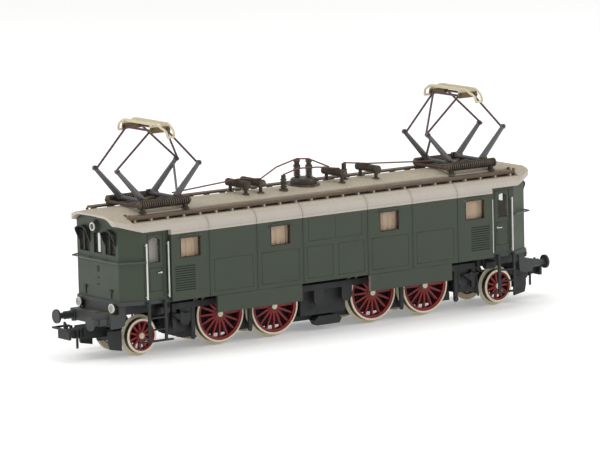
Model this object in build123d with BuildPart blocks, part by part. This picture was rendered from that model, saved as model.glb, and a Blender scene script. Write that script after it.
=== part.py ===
"""Model electric locomotive with a 1-Do-1 wheel arrangement, in millimetres.

+X runs along the locomotive towards the rear cab, +Z is up, and the origin is on the
ground under the middle of the model, level with the lowest point of the wheel flanges.
Heights given to above_rail() are measured from the rail head, where the treads run.
"""

import math
import os
from build123d import *

os.makedirs("parts", exist_ok=True)

# ---- scale and track: scale 1:87 on 16.5 mm gauge
FLANGE_DEPTH = 1.1
WHEEL_BACK = 7.15
WHEEL_FACE = 9.95
FLANGE_WIDTH = 0.8
DRIVE_TREAD_R = 9.425
PONY_TREAD_R = 5.75
DRIVE_AXLES = [-42.07, -20.19, 20.19, 42.07]
PONY_AXLE_X = 73.27
DRIVE_RIM_R = 8.75
DRIVE_SPOKES = 16
PONY_RIM_R = 4.95
PONY_SPOKES = 11
AXLE_R = 1.0
RUNNING_GAP = 0.05

# ---- body
SIDE_Y = 17.32
SIDE_END_X = 65.7
DOOR_Y = 15.7
DOOR_END_X = 76.0
FACE_X = 83.1
FACE_Y = 12.2
WALL = 1.3
SIDE_BOTTOM = 17.15
CAB_BOTTOM = 18.2
SKIRT_BOTTOM = 11.43
SKIRT_X = (14.04, 48.09)
EAVE_SIDE = 39.2
EAVE_DOOR = 40.9
WINDOW_Z = (31.0, 37.75)
SIDE_WINDOW_X = [(18.32, 26.32), (54.15, 62.23)]
DOOR_WINDOW_X = (69.1, 73.5)
DOOR_WINDOW_Z = (30.4, 38.6)

# ---- roof
ROOF_Y = 17.45
ROOF_END_X = 85.3
ROOF_END_Y = 12.5
RIDGE = 47.3
SHOULDER_R = 4.9
SHOULDER_TURN = 65.3
WALKWAY_TOP = 45.5
WALKWAY_Y = (9.6, 13.0)
WALKWAY_X = 78.9
BOARD_THICKNESS = 0.9
LEDGE = 43.75
LEDGE_Y = 15.3

# ---- drive
GEAR_MODULE = 0.5
GEAR_TEETH = 22
WORM_PITCH_R = 2.5
SHAFT_R = 0.75

# ---- pantographs
PANTO_X = 62.9
PANTO_BASE = 49.5
PANTO_BASE_OFFSET = 6.3
PANTO_LOWER_LENGTH = 14.3
PANTO_LOWER_ANGLE = 47.3
PANTO_UPPER_LENGTH = 17.9
PANTO_UPPER_ANGLE = 43.4


def above_rail(height):
    """Height over the model's lowest point of something this far over the rail head."""
    return FLANGE_DEPTH + height


DRIVE_AXLE_Z = above_rail(DRIVE_TREAD_R)
PONY_AXLE_Z = above_rail(PONY_TREAD_R)
GEAR_PITCH_R = GEAR_MODULE * GEAR_TEETH / 2
IDLER_X = (DRIVE_AXLES[2] + DRIVE_AXLES[3]) / 2
IDLER_RISE = math.sqrt((2 * GEAR_PITCH_R) ** 2 - (DRIVE_AXLES[3] - IDLER_X) ** 2)
IDLER_Z = DRIVE_AXLE_Z + IDLER_RISE
SHAFT_Z = IDLER_Z + GEAR_PITCH_R + WORM_PITCH_R


def side_plane(x, y, z, facing=-1):
    """Plane square to the Y axis at a point, facing -Y or +Y."""
    return Plane(origin=(x, y, z), x_dir=(1, 0, 0), z_dir=(0, facing, 0))


def end_plane(x, y=0, z=0):
    """Plane square to the X axis at a point, with its own x along +Y and y up."""
    return Plane(origin=(x, y, z), x_dir=(0, 1, 0), z_dir=(1, 0, 0))


def save(part, name):
    """Label a finished piece and write it as a STEP file."""
    part.label = name
    export_step(part, f"parts/{name}.step")


def block(x, y, z):
    """Add a box to the open part, given its low and high limits along each axis."""
    centre = ((x[0] + x[1]) / 2, (y[0] + y[1]) / 2, (z[0] + z[1]) / 2)
    with Locations(centre):
        Box(x[1] - x[0], y[1] - y[0], z[1] - z[0])


def pocket(x, y, z):
    """Cut a box out of the open part, given its low and high limits along each axis."""
    centre = ((x[0] + x[1]) / 2, (y[0] + y[1]) / 2, (z[0] + z[1]) / 2)
    with Locations(centre):
        Box(x[1] - x[0], y[1] - y[0], z[1] - z[0], mode=Mode.SUBTRACT)


def rod(start, end, radius, end_radius=None, mode=Mode.ADD):
    """Add a straight round rod, tapered when an end radius is given."""
    start = Vector(*start)
    end = Vector(*end)
    along = end - start
    base = Plane(origin=start, z_dir=along.normalized())
    with BuildSketch(base) as near_end:
        Circle(radius)
    if end_radius is None:
        extrude(near_end.sketch, amount=along.length, mode=mode)
        return
    with BuildSketch(base.offset(along.length)) as far_end:
        Circle(end_radius)
    loft([near_end.sketch, far_end.sketch], mode=mode)


# =====================================================================================
# Wheels and axles
# =====================================================================================

def spoked_centres(x, axle_z, rim_r, rim_width, hub_r, spokes):
    """Two spoked wheel centres, one at each end of an axle."""
    face = side_plane(x, -WHEEL_FACE + 0.25, axle_z)
    with BuildPart() as centres:
        with BuildSketch(face):
            Circle(rim_r)
            Circle(rim_r - rim_width, mode=Mode.SUBTRACT)
        extrude(amount=-2.0)
        with BuildSketch(face.offset(-0.15)):
            Circle(hub_r)
        extrude(amount=-(WHEEL_FACE - WHEEL_BACK - 0.4))
        spoke_length = rim_r - rim_width / 2
        with BuildSketch(face.offset(-0.35)):
            for index in range(spokes):
                turn = math.tau * index / spokes
                foot = Vector(-0.45 * math.sin(turn), 0.45 * math.cos(turn))
                out = Vector(spoke_length * math.cos(turn), spoke_length * math.sin(turn))
                with BuildLine():
                    Polyline(foot, out + foot * 0.6, out - foot * 0.6, foot * -1, close=True)
                make_face()
        extrude(amount=-1.1)
        with BuildSketch(side_plane(x, -WHEEL_FACE, axle_z)):
            Circle(AXLE_R)
        extrude(amount=-4, mode=Mode.SUBTRACT)
        mirror(about=Plane.XZ)
    return centres.part


def tyres(x, axle_z, tread_r, bore_r):
    """Two flanged metal tyres, one at each end of an axle."""
    flange_r = tread_r + FLANGE_DEPTH
    flange_y = WHEEL_BACK + FLANGE_WIDTH
    with BuildPart() as rings:
        with BuildSketch(end_plane(x, 0, axle_z)):
            with BuildLine():
                Polyline(
                    (-WHEEL_BACK, bore_r),
                    (-WHEEL_BACK, flange_r - 0.35),
                    (-WHEEL_BACK - 0.3, flange_r),
                    (-WHEEL_BACK - 0.5, flange_r),
                    (-flange_y, tread_r + 0.15),
                    (-flange_y - 0.2, tread_r),
                    (-WHEEL_FACE + 0.15, tread_r - 0.05),
                    (-WHEEL_FACE, tread_r - 0.2),
                    (-WHEEL_FACE, bore_r),
                    close=True,
                )
            make_face()
        revolve(axis=Axis((x, 0, axle_z), (0, 1, 0)))
        mirror(about=Plane.XZ)
    return rings.part


def involute(angle):
    return math.tan(angle) - angle


def gear_outline(phase, tip=0.85, root=1.2, backlash=0.10):
    """Closed outline of a gear with involute flanks, one tooth centred on phase."""
    pressure = math.radians(20)
    base_r = GEAR_PITCH_R * math.cos(pressure)
    tooth = math.pi * GEAR_MODULE / 2 - backlash
    half_at_pitch = tooth / (2 * GEAR_PITCH_R) + involute(pressure)
    tip_r = GEAR_PITCH_R + tip * GEAR_MODULE
    root_r = GEAR_PITCH_R - root * GEAR_MODULE
    flank = [(root_r, half_at_pitch)]
    for step in range(5):
        radius = base_r + (tip_r - base_r) * step / 4
        flank.append((radius, half_at_pitch - involute(math.acos(base_r / radius))))
    points = []
    for index in range(GEAR_TEETH):
        middle = math.radians(phase) + index * 2 * math.pi / GEAR_TEETH
        for radius, half in flank:
            points.append((radius * math.cos(middle - half), radius * math.sin(middle - half)))
        for radius, half in reversed(flank):
            points.append((radius * math.cos(middle + half), radius * math.sin(middle + half)))
    return points


def meshed_phase(phase, direction):
    """Tooth angle of a gear meshed with an equal gear that lies back along direction."""
    pitch = 360 / GEAR_TEETH
    offset = (direction - phase) / pitch
    return direction + 180 - (0.5 - offset) * pitch


def add_gear(x, z, phase, width):
    """Add a spur gear across the centre line; phase is measured from +X towards +Z."""
    with BuildSketch(side_plane(x, -width / 2, z)) as outline:
        with BuildLine():
            Polyline(*gear_outline(phase), close=True)
        make_face()
    extrude(outline.sketch, amount=-width)


IDLER_PHASE = 90 + 180 / GEAR_TEETH
DOWN_ANGLE = math.degrees(math.asin(IDLER_RISE / (2 * GEAR_PITCH_R)))


def drive_axle(x, name):
    """Steel axle of a driven wheelset with its gear."""
    inner = abs(x) < IDLER_X
    towards_plus = (x > 0) != inner
    direction = -DOWN_ANGLE if towards_plus else 180 + DOWN_ANGLE
    phase = meshed_phase(IDLER_PHASE, direction)
    with BuildPart() as axle:
        rod((x, -WHEEL_FACE, DRIVE_AXLE_Z), (x, WHEEL_FACE, DRIVE_AXLE_Z), AXLE_R)
        add_gear(x, DRIVE_AXLE_Z, phase, 2.0)
    save(axle.part, name)


for number, axle_x in enumerate(DRIVE_AXLES, start=1):
    centres = spoked_centres(axle_x, DRIVE_AXLE_Z, DRIVE_RIM_R, 0.95, 1.9, DRIVE_SPOKES)
    save(centres, f"drive_wheels_{number}")
    rings = tyres(axle_x, DRIVE_AXLE_Z, DRIVE_TREAD_R, DRIVE_RIM_R)
    save(rings, f"drive_tyres_{number}")
    drive_axle(axle_x, f"drive_axle_{number}")

for end, side in (("front", -1), ("rear", 1)):
    axle_x = side * PONY_AXLE_X
    with BuildPart() as carrying_wheels:
        add(spoked_centres(axle_x, PONY_AXLE_Z, PONY_RIM_R, 0.55, 1.6, PONY_SPOKES))
        add(tyres(axle_x, PONY_AXLE_Z, PONY_TREAD_R, PONY_RIM_R))
    save(carrying_wheels.part, f"carrying_wheels_{end}")
    with BuildPart() as carrying_axle:
        rod((axle_x, -WHEEL_FACE, PONY_AXLE_Z), (axle_x, WHEEL_FACE, PONY_AXLE_Z), AXLE_R)
    save(carrying_axle.part, f"carrying_axle_{end}")

# =====================================================================================
# Motor and worms
# =====================================================================================
MOTOR_X = 9.0
MOTOR_Y = 6.7
MOTOR_HALF_HEIGHT = 8.6
FLYWHEEL_X = (9.7, 13.5)
FLYWHEEL_R = 6.4
SHAFT_END = 37.0
WORM_HALF = 3.9
WORM_PITCH = math.pi * GEAR_MODULE

with BuildPart() as motor_can:
    with BuildSketch(end_plane(-MOTOR_X, 0, SHAFT_Z)):
        Rectangle(2 * MOTOR_Y, 2 * MOTOR_HALF_HEIGHT)
    extrude(amount=2 * MOTOR_X)
    fillet(motor_can.edges().filter_by(Axis.X), 1.6)
    with BuildSketch(end_plane(-MOTOR_X + 1, 0, SHAFT_Z)):
        Rectangle(2 * MOTOR_Y - 1.6, 2 * MOTOR_HALF_HEIGHT - 1.6)
    extrude(amount=2 * MOTOR_X - 2, mode=Mode.SUBTRACT)
    rod((-MOTOR_X, 0, SHAFT_Z), (MOTOR_X, 0, SHAFT_Z), SHAFT_R + RUNNING_GAP, mode=Mode.SUBTRACT)
    for top in (-1, 1):
        low, high = sorted((SHAFT_Z + top * 5.6, SHAFT_Z + top * 7.8))
        block((-6, 6), (-MOTOR_Y + 0.8, MOTOR_Y - 0.8), (low, high))
save(motor_can.part, "motor")

with BuildPart() as armature:
    rod((-SHAFT_END, 0, SHAFT_Z), (SHAFT_END, 0, SHAFT_Z), SHAFT_R)
    with BuildSketch(end_plane(-5, 0, SHAFT_Z)):
        Circle(5.0)
        Circle(SHAFT_R, mode=Mode.SUBTRACT)
        with PolarLocations(3.9, 5):
            Rectangle(2.6, 1.3, mode=Mode.SUBTRACT)
    extrude(amount=9)
    with BuildSketch(end_plane(5, 0, SHAFT_Z)):
        Circle(2.0)
        Circle(SHAFT_R, mode=Mode.SUBTRACT)
    extrude(amount=2.4)
save(armature.part, "motor_armature")

with BuildPart() as flywheels:
    with BuildSketch(end_plane(FLYWHEEL_X[0], 0, SHAFT_Z)):
        Circle(FLYWHEEL_R)
        Circle(SHAFT_R, mode=Mode.SUBTRACT)
    extrude(amount=FLYWHEEL_X[1] - FLYWHEEL_X[0])
    chamfer(flywheels.edges().filter_by(GeomType.CIRCLE).sort_by(Axis.X)[-1:], 0.1)
    mirror(about=Plane.YZ)
save(flywheels.part, "flywheels")


def worm(x):
    """One worm lying along X, its thread meeting the idler's tooth gap below it."""
    core_r = WORM_PITCH_R - 0.65
    tip_r = WORM_PITCH_R + 0.35
    turns = 4
    foot = -turns / 2 * WORM_PITCH
    with BuildPart(mode=Mode.PRIVATE) as screw:
        with BuildLine() as path:
            Helix(WORM_PITCH, turns * WORM_PITCH, core_r, center=(0, 0, foot))
        with BuildSketch(Plane(origin=(core_r, 0, foot), x_dir=(1, 0, 0), z_dir=(0, 1, 0))):
            with BuildLine():
                Polyline(
                    (-0.1, -0.44),
                    (tip_r - core_r, -0.14),
                    (tip_r - core_r, 0.14),
                    (-0.1, 0.44),
                    close=True,
                )
            make_face()
        sweep(path=path.wires()[0], is_frenet=True)
        Cylinder(core_r, 2 * WORM_HALF)
        Cylinder(SHAFT_R, 2 * WORM_HALF, mode=Mode.SUBTRACT)
    return Pos(x, 0, SHAFT_Z) * Rot(0, 90, 0) * screw.part


worm_pair = Compound(children=[worm(-IDLER_X), worm(IDLER_X)])
save(worm_pair, "worms")

IDLER_STUB_R = 0.75
for end, side in (("front", -1), ("rear", 1)):
    x = side * IDLER_X
    with BuildPart() as idler:
        add_gear(x, IDLER_Z, IDLER_PHASE, 1.6)
        rod((x, -3.4, IDLER_Z), (x, 3.4, IDLER_Z), IDLER_STUB_R)
    save(idler.part, f"idler_gear_{end}")

# =====================================================================================
# Chassis
# =====================================================================================
FRAME_Y = 6.2
FRAME_X = 55.0
FRAME_BOTTOM = 5.6
DECK_Z = (21.7, 24.0)
KEEPER_BOTTOM = 3.6
GEAR_SLOT_Y = 1.3
BEAM_FACE_X = 86.7
PIVOT_X = 58.0
PIVOT_R = 1.0
CHEEK_X = 9.2
bearings = [(x, DRIVE_AXLE_Z, AXLE_R) for x in DRIVE_AXLES]
bearings += [(x, IDLER_Z, IDLER_STUB_R) for x in (-IDLER_X, IDLER_X)]
KEEPER_SCREWS = [-51.5, -10.8, 10.8, 51.5]

with BuildPart() as chassis_frame:
    block((-FRAME_X, FRAME_X), (-FRAME_Y, FRAME_Y), (FRAME_BOTTOM, DECK_Z[0]))
    block((-CHEEK_X, CHEEK_X), (-9, 9), (FRAME_BOTTOM, DECK_Z[0]))
    block((-63, 63), (-15.5, 15.5), DECK_Z)
    for side in (-1, 1):
        low, high = sorted((side * (FRAME_X - 0.5), side * (PIVOT_X + 3)))
        block((low, high), (-3, 3), (10.2, 12.2))
        low, high = sorted((side * (FRAME_X - 0.5), side * 63))
        block((low, high), (-FRAME_Y, FRAME_Y), (above_rail(CAB_BOTTOM), DECK_Z[0]))
        low, high = sorted((side * 12, side * 49.5))
        pocket((low, high), (-GEAR_SLOT_Y, GEAR_SLOT_Y), (FRAME_BOTTOM - 1, 17.4))
        low, high = sorted((side * (IDLER_X - 4.2), side * (IDLER_X + 4.2)))
        pocket((low, high), (-3.1, 3.1), (SHAFT_Z - 3.2, DECK_Z[1] + 1))
        rod((side * PIVOT_X, 0, 9), (side * PIVOT_X, 0, 13), PIVOT_R, mode=Mode.SUBTRACT)
    pocket((-14, 14), (-6.9, 6.9), (SHAFT_Z - MOTOR_HALF_HEIGHT, DECK_Z[1] + 1))
    bore_end = SHAFT_END + 0.5
    rod((-bore_end, 0, SHAFT_Z), (bore_end, 0, SHAFT_Z), SHAFT_R + RUNNING_GAP, mode=Mode.SUBTRACT)
    for x, z, radius in bearings:
        reach = FRAME_Y + 1 if radius == AXLE_R else 3.5
        hole = radius + RUNNING_GAP
        rod((x, -reach, z), (x, reach, z), hole, mode=Mode.SUBTRACT)
        pocket((x - hole, x + hole), (-reach, reach), (FRAME_BOTTOM - 1, z))
    for x in KEEPER_SCREWS:
        rod((x, 0, FRAME_BOTTOM - 1), (x, 0, FRAME_BOTTOM + 2.5), 0.8, mode=Mode.SUBTRACT)
save(chassis_frame.part, "chassis_frame")

with BuildPart() as keeper_plate:
    block((-FRAME_X, FRAME_X), (-FRAME_Y, FRAME_Y), (KEEPER_BOTTOM, FRAME_BOTTOM))
    for x, z, radius in bearings:
        reach = FRAME_Y if radius == AXLE_R else 3.4
        top = z - radius - RUNNING_GAP
        block((x - radius, x + radius), (-reach, reach), (FRAME_BOTTOM - 0.5, top))
        pocket((x - 6.4, x + 6.4), (-GEAR_SLOT_Y, GEAR_SLOT_Y), (4.2, 16))
    for x in KEEPER_SCREWS:
        rod((x, 0, KEEPER_BOTTOM - 1), (x, 0, FRAME_BOTTOM + 1), 0.8, mode=Mode.SUBTRACT)
    with BuildSketch(side_plane(1.9, -FRAME_Y, 0)):
        with BuildLine():
            Polyline((-5.6, 3.6), (-4.0, 4.9), (3.2, 4.9), (5.6, 3.6), (4.6, 1.9), (-4.6, 1.9), close=True)
        make_face()
    extrude(amount=3.2)
    mirror(about=Plane.XZ)
save(keeper_plate.part, "keeper_plate")

with BuildPart() as chassis_screws:
    for x in KEEPER_SCREWS:
        rod((x, 0, KEEPER_BOTTOM), (x, 0, FRAME_BOTTOM + 2.5), 0.8)
        rod((x, 0, KEEPER_BOTTOM - 0.8), (x, 0, KEEPER_BOTTOM), 1.5)
    for side in (-1, 1):
        rod((side * PIVOT_X, 0, 6.6), (side * PIVOT_X, 0, 12.2), PIVOT_R)
        rod((side * PIVOT_X, 0, 5.6), (side * PIVOT_X, 0, 6.6), 1.9)
save(chassis_screws.part, "chassis_screws")

with BuildPart() as ballast_weights:
    for side in (-1, 1):
        low, high = sorted((side * 16, side * 60))
        block((low, high), (-13, 13), (DECK_Z[1], 31))
    fillet(ballast_weights.edges().filter_by(Axis.Z), 1.0)
save(ballast_weights.part, "ballast_weights")

with BuildPart() as circuit_board:
    block((-50, 50), (-8, 8), (31, 32))
    for x, length in ((-40, 6), (-24, 4), (-6, 9), (14, 5), (34, 7)):
        block((x, x + length), (-4, 3), (32, 34.2))
save(circuit_board.part, "circuit_board")

with BuildPart() as wheel_pickups:
    for x in DRIVE_AXLES:
        low, high = sorted((x - 1.6, x + 4.4))
        block((low, high), (FRAME_Y, FRAME_Y + 0.3), (14.0, 15.6))
        block((x + 3.4, x + 4.4), (FRAME_Y, WHEEL_BACK - 0.1), (14.0, 15.6))
    mirror(about=Plane.XZ)
save(wheel_pickups.part, "wheel_pickups")

# ---- cab floors with aprons and buffer beams
FLOOR_TOP = above_rail(CAB_BOTTOM)
FLOOR_BOTTOM = above_rail(16.9)
BEAM_Z = (above_rail(10.3), above_rail(14.0))

with BuildPart() as end_platforms:
    with BuildSketch(Plane.XY.offset(FLOOR_BOTTOM)):
        with BuildLine():
            Polyline(
                (FRAME_X, -15.9),
                (DOOR_END_X + 0.3, -DOOR_Y - 0.2),
                (FACE_X + 0.5, -FACE_Y - 0.2),
                (FACE_X + 0.5, FACE_Y + 0.2),
                (DOOR_END_X + 0.3, DOOR_Y + 0.2),
                (FRAME_X, 15.9),
                close=True,
            )
        make_face()
    extrude(amount=FLOOR_TOP - FLOOR_BOTTOM)
    block((FACE_X - 2, FACE_X), (-12, 12), (BEAM_Z[1] - 1, FLOOR_BOTTOM))
    block((FACE_X - 0.5, BEAM_FACE_X), (-12, 12), BEAM_Z)
    with BuildSketch(side_plane(0, -12, 0)):
        with BuildLine():
            Polyline(
                (FACE_X, FLOOR_BOTTOM),
                (FACE_X - 3.2, FLOOR_BOTTOM),
                (FACE_X - 2.4, FLOOR_BOTTOM - 1.2),
                (FACE_X - 2.0, BEAM_Z[0]),
                (FACE_X, BEAM_Z[0] - 0.7),
                (BEAM_FACE_X - 0.3, BEAM_Z[0] - 0.7),
                (BEAM_FACE_X - 0.3, BEAM_Z[1]),
                (FACE_X, BEAM_Z[1]),
                close=True,
            )
        make_face()
    extrude(amount=-1.0)
    mirror(about=Plane.XZ)
    mirror(about=Plane.YZ)
save(end_platforms.part, "end_platforms")

BUFFER_Y = 10.05
BUFFER_Z = above_rail(12.07)
BUFFER_HEAD_X = 93.7
with BuildPart() as buffers:
    for y in (-BUFFER_Y, BUFFER_Y):
        rod((BEAM_FACE_X, y, BUFFER_Z), (BEAM_FACE_X + 0.6, y, BUFFER_Z), 1.75)
        rod((BEAM_FACE_X + 0.6, y, BUFFER_Z), (90.4, y, BUFFER_Z), 1.35)
        rod((90.4, y, BUFFER_Z), (BUFFER_HEAD_X - 0.7, y, BUFFER_Z), 1.0)
        rod((BUFFER_HEAD_X - 0.7, y, BUFFER_Z), (BUFFER_HEAD_X, y, BUFFER_Z), 2.35)
    mirror(about=Plane.YZ)
save(buffers.part, "buffers")

STEP_Y = 17.3
STEP_X = (68.4, 74.8)
with BuildPart() as cab_steps:
    for x in STEP_X:
        block((x - 0.5, x + 0.5), (STEP_Y - 0.6, STEP_Y), (above_rail(4.9), FLOOR_TOP - 0.4))
        block((x - 0.5, x + 0.5), (15.9, STEP_Y), (FLOOR_TOP - 0.9, FLOOR_TOP - 0.4))
    for height in (12.6, 8.7):
        block(STEP_X, (STEP_Y - 1.1, STEP_Y), (above_rail(height) - 0.4, above_rail(height)))
    block((65.6, 78.2), (STEP_Y - 1.4, STEP_Y), (above_rail(4.5), above_rail(5.0)))
    mirror(about=Plane.XZ)
    mirror(about=Plane.YZ)
save(cab_steps.part, "cab_steps")

# ---- brake blocks, spring brackets and hangers in front of the wheels
BAR_Y = (10.6, 11.5)
BAR_Z = (above_rail(13.2), above_rail(15.2))


def hanger(x, width, low, high, taper):
    """Bracket plate hung in front of the wheels, narrower at its foot."""
    with BuildSketch(side_plane(x, -BAR_Y[1], 0)) as plate:
        with BuildLine():
            Polyline(
                (-width / 2, high),
                (-width / 2, low + 1),
                (-width / 2 + taper, low),
                (width / 2 - taper, low),
                (width / 2, low + 1.6),
                (width / 2, high),
                close=True,
            )
        make_face()
    extrude(plate.sketch, amount=-(BAR_Y[1] - BAR_Y[0]))


with BuildPart() as underframe:
    block((-62, 62), (-BAR_Y[1], -BAR_Y[0]), BAR_Z)
    block((-4, 4), (-BAR_Y[0], -9), (BAR_Z[0], BAR_Z[1]))
    for x in (-3.1, 8.3):
        hanger(x, 4.2, above_rail(8.3), BAR_Z[1], 0.9)
    for side in (-1, 1):
        hanger(side * 57.0, 4.2, above_rail(7.7), BAR_Z[1], 1.1)
        hanger(side * 61.4, 1.6, above_rail(6.8), BAR_Z[1], 0.3)
        hanger(side * 54.0, 1.4, above_rail(2.6), BAR_Z[1], 0.3)
        hanger(side * 31.13, 1.4, above_rail(2.6), BAR_Z[1], 0.3)
        rod((side * 54.0, -BAR_Y[1] - 0.3, above_rail(3.6)), (side * 54.0, -BAR_Y[0], above_rail(3.6)), 0.75)
        rod((side * 57.0, -BAR_Y[1] - 0.3, above_rail(11)), (side * 57.0, -BAR_Y[0], above_rail(11)), 0.9)
    mirror(about=Plane.XZ)
save(underframe.part, "underframe_hangers")

# =====================================================================================
# Pony trucks and couplers
# =====================================================================================
TRUCK_Z = (4.2, 9.2)
TRUCK_ARM_Z = (7.6, 9.2)
COUPLER_Z = (above_rail(6.2), above_rail(9.3))
LOOP_PIVOT_X = 93.2
LOOP_PIVOT_Z = above_rail(8.4)
LOOP_PIVOT_R = 0.4
LOOP_Z = (above_rail(9.5), above_rail(10.1))

for end, side in (("front", -1), ("rear", 1)):
    with BuildPart() as pony_truck:
        for y in (-5.4, 5.4):
            block((PONY_AXLE_X - 4.5, 80.6), (y - 0.8, y + 0.8), TRUCK_Z)
        block((PONY_AXLE_X - 5.3, PONY_AXLE_X - 4.0), (-6.2, 6.2), TRUCK_Z)
        block((79.8, 82.4), (-6.2, 6.2), (5.4, 9.2))
        block((80.7, 82.4), (-9.2, 9.2), (5.4, 9.2))
        block((PIVOT_X - 2, PONY_AXLE_X - 4.5), (-2.6, 2.6), TRUCK_ARM_Z)
        block((82.4, 91.2), (-2.9, 2.9), (COUPLER_Z[0] - 0.4, COUPLER_Z[1] + 0.5))
        block((81.4, 83), (-2.9, 2.9), (COUPLER_Z[0] - 0.4, 9.2))
        for y in (-8.8, 8.8):
            with BuildSketch(side_plane(0, y - 0.4, 0)):
                with BuildLine():
                    Polyline(
                        (80.7, 1.5 + FLANGE_DEPTH),
                        (85.2, 2.4 + FLANGE_DEPTH),
                        (85.8, 5.0 + FLANGE_DEPTH),
                        (85.8, 9.4),
                        (80.7, 9.4),
                        close=True,
                    )
                make_face()
            extrude(amount=-0.8)
        pocket((86.4, 92), (-2.1, 2.1), (COUPLER_Z[0], COUPLER_Z[1]))
        bearing_r = AXLE_R + RUNNING_GAP
        for y in (-5.4, 5.4):
            rod(
                (PONY_AXLE_X, y - 1, PONY_AXLE_Z),
                (PONY_AXLE_X, y + 1, PONY_AXLE_Z),
                bearing_r,
                mode=Mode.SUBTRACT,
            )
        rod((PIVOT_X, 0, 7), (PIVOT_X, 0, 10), PIVOT_R + RUNNING_GAP, mode=Mode.SUBTRACT)
        if side < 0:
            mirror(about=Plane.YZ, mode=Mode.REPLACE)
    save(pony_truck.part, f"pony_truck_{end}")

    with BuildPart() as coupler:
        block((86.4, 94.2), (-2.1, 2.1), COUPLER_Z)
        block((94.2, 97.0), (-1.4, 1.4), (COUPLER_Z[0] + 0.4, COUPLER_Z[1]))
        block((96.4, 97.3), (-3.3, 3.3), COUPLER_Z)
        with BuildSketch(side_plane(0, -0.35, 0)):
            with BuildLine():
                Polyline(
                    (95.6, COUPLER_Z[1] - 0.2),
                    (97.0, COUPLER_Z[1] - 0.2),
                    (97.0, above_rail(11.9)),
                    (96.5, above_rail(11.9)),
                    (95.6, above_rail(10.2)),
                    close=True,
                )
            make_face()
        extrude(amount=-0.7)
        pocket((92.3, 94.3), (-2.6, -1.4), (COUPLER_Z[0] - 1, COUPLER_Z[1] + 1))
        pocket((92.3, 94.3), (1.4, 2.6), (COUPLER_Z[0] - 1, COUPLER_Z[1] + 1))
        rod(
            (LOOP_PIVOT_X, -2, LOOP_PIVOT_Z),
            (LOOP_PIVOT_X, 2, LOOP_PIVOT_Z),
            LOOP_PIVOT_R + RUNNING_GAP,
            mode=Mode.SUBTRACT,
        )
        if side < 0:
            mirror(about=Plane.YZ, mode=Mode.REPLACE)
    save(coupler.part, f"coupler_{end}")

    with BuildPart() as loop:
        ear_x = (LOOP_PIVOT_X - 0.45, LOOP_PIVOT_X + 0.45)
        block(ear_x, (-2.1, -1.5), (LOOP_PIVOT_Z - 0.5, LOOP_Z[1]))
        block((LOOP_PIVOT_X - 0.3, LOOP_PIVOT_X + 0.3), (-2.1, -1.5), (above_rail(2.9), LOOP_PIVOT_Z))
        block(ear_x, (1.5, 2.1), (LOOP_PIVOT_Z - 0.5, LOOP_Z[1]))
        for low, high in ((-4.4, -1.5), (1.5, 4.4)):
            block(ear_x, (low, high), LOOP_Z)
        for low, high in ((-4.4, -3.7), (3.7, 4.4)):
            block((ear_x[0], 98.9), (low, high), LOOP_Z)
        block((98.2, 98.9), (-4.4, 4.4), LOOP_Z)
        rod((LOOP_PIVOT_X, -2.1, LOOP_PIVOT_Z), (LOOP_PIVOT_X, 2.1, LOOP_PIVOT_Z), LOOP_PIVOT_R)
        if side < 0:
            mirror(about=Plane.YZ, mode=Mode.REPLACE)
    save(loop.part, f"coupler_loop_{end}")

# =====================================================================================
# Body shell and roof
# =====================================================================================
body_plan = [
    (SIDE_END_X, -SIDE_Y),
    (SIDE_END_X, -DOOR_Y),
    (DOOR_END_X, -DOOR_Y),
    (FACE_X, -FACE_Y),
    (FACE_X, FACE_Y),
    (DOOR_END_X, DOOR_Y),
    (SIDE_END_X, DOOR_Y),
    (SIDE_END_X, SIDE_Y),
]
body_plan += [(-x, -y) for x, y in body_plan]
EAVE_CORNER = 43.2
FLOOR_CLEAR = above_rail(CAB_BOTTOM)

with BuildPart() as eaves:
    block((-SIDE_END_X, SIDE_END_X), (-20, 20), (0, above_rail(EAVE_SIDE)))
    for low, high in ((-DOOR_END_X, -SIDE_END_X), (SIDE_END_X, DOOR_END_X)):
        block((low, high), (-20, 20), (0, above_rail(EAVE_DOOR)))
    for side in (-1, 1):
        with BuildSketch(side_plane(0, -20, 0)):
            with BuildLine():
                Polyline(
                    (side * (DOOR_END_X - 1), 0),
                    (side * (DOOR_END_X - 1), above_rail(EAVE_DOOR)),
                    (side * (DOOR_END_X + 0.6), above_rail(EAVE_DOOR)),
                    (side * (ROOF_END_X - 0.8), above_rail(EAVE_CORNER)),
                    (side * 90, above_rail(EAVE_CORNER)),
                    (side * 90, 0),
                    close=True,
                )
            make_face()
        extrude(amount=-40)
        with BuildSketch(end_plane(side * (DOOR_END_X + 2))):
            with BuildLine():
                Spline(
                    (-13.6, above_rail(EAVE_CORNER) - 0.8),
                    (-12.3, above_rail(EAVE_CORNER)),
                    (-9.5, above_rail(44.9)),
                    (-5, above_rail(45.42)),
                    (0, above_rail(45.55)),
                    (5, above_rail(45.42)),
                    (9.5, above_rail(44.9)),
                    (12.3, above_rail(EAVE_CORNER)),
                    (13.6, above_rail(EAVE_CORNER) - 0.8),
                )
                Polyline(
                    (13.6, above_rail(EAVE_CORNER) - 0.8),
                    (13.6, 30),
                    (-13.6, 30),
                    (-13.6, above_rail(EAVE_CORNER) - 0.8),
                )
            make_face()
        extrude(amount=side * 14)


def window_outline(plane, centre, width, low, high, rise):
    """Window opening: straight sides and sill under an arched head."""
    with BuildSketch(plane) as opening:
        with BuildLine():
            left = centre - width / 2
            right = centre + width / 2
            Polyline((left, high - rise), (left, low), (right, low), (right, high - rise))
            ThreePointArc((right, high - rise), (centre, high), (left, high - rise))
        make_face()
    return opening.sketch


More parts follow.
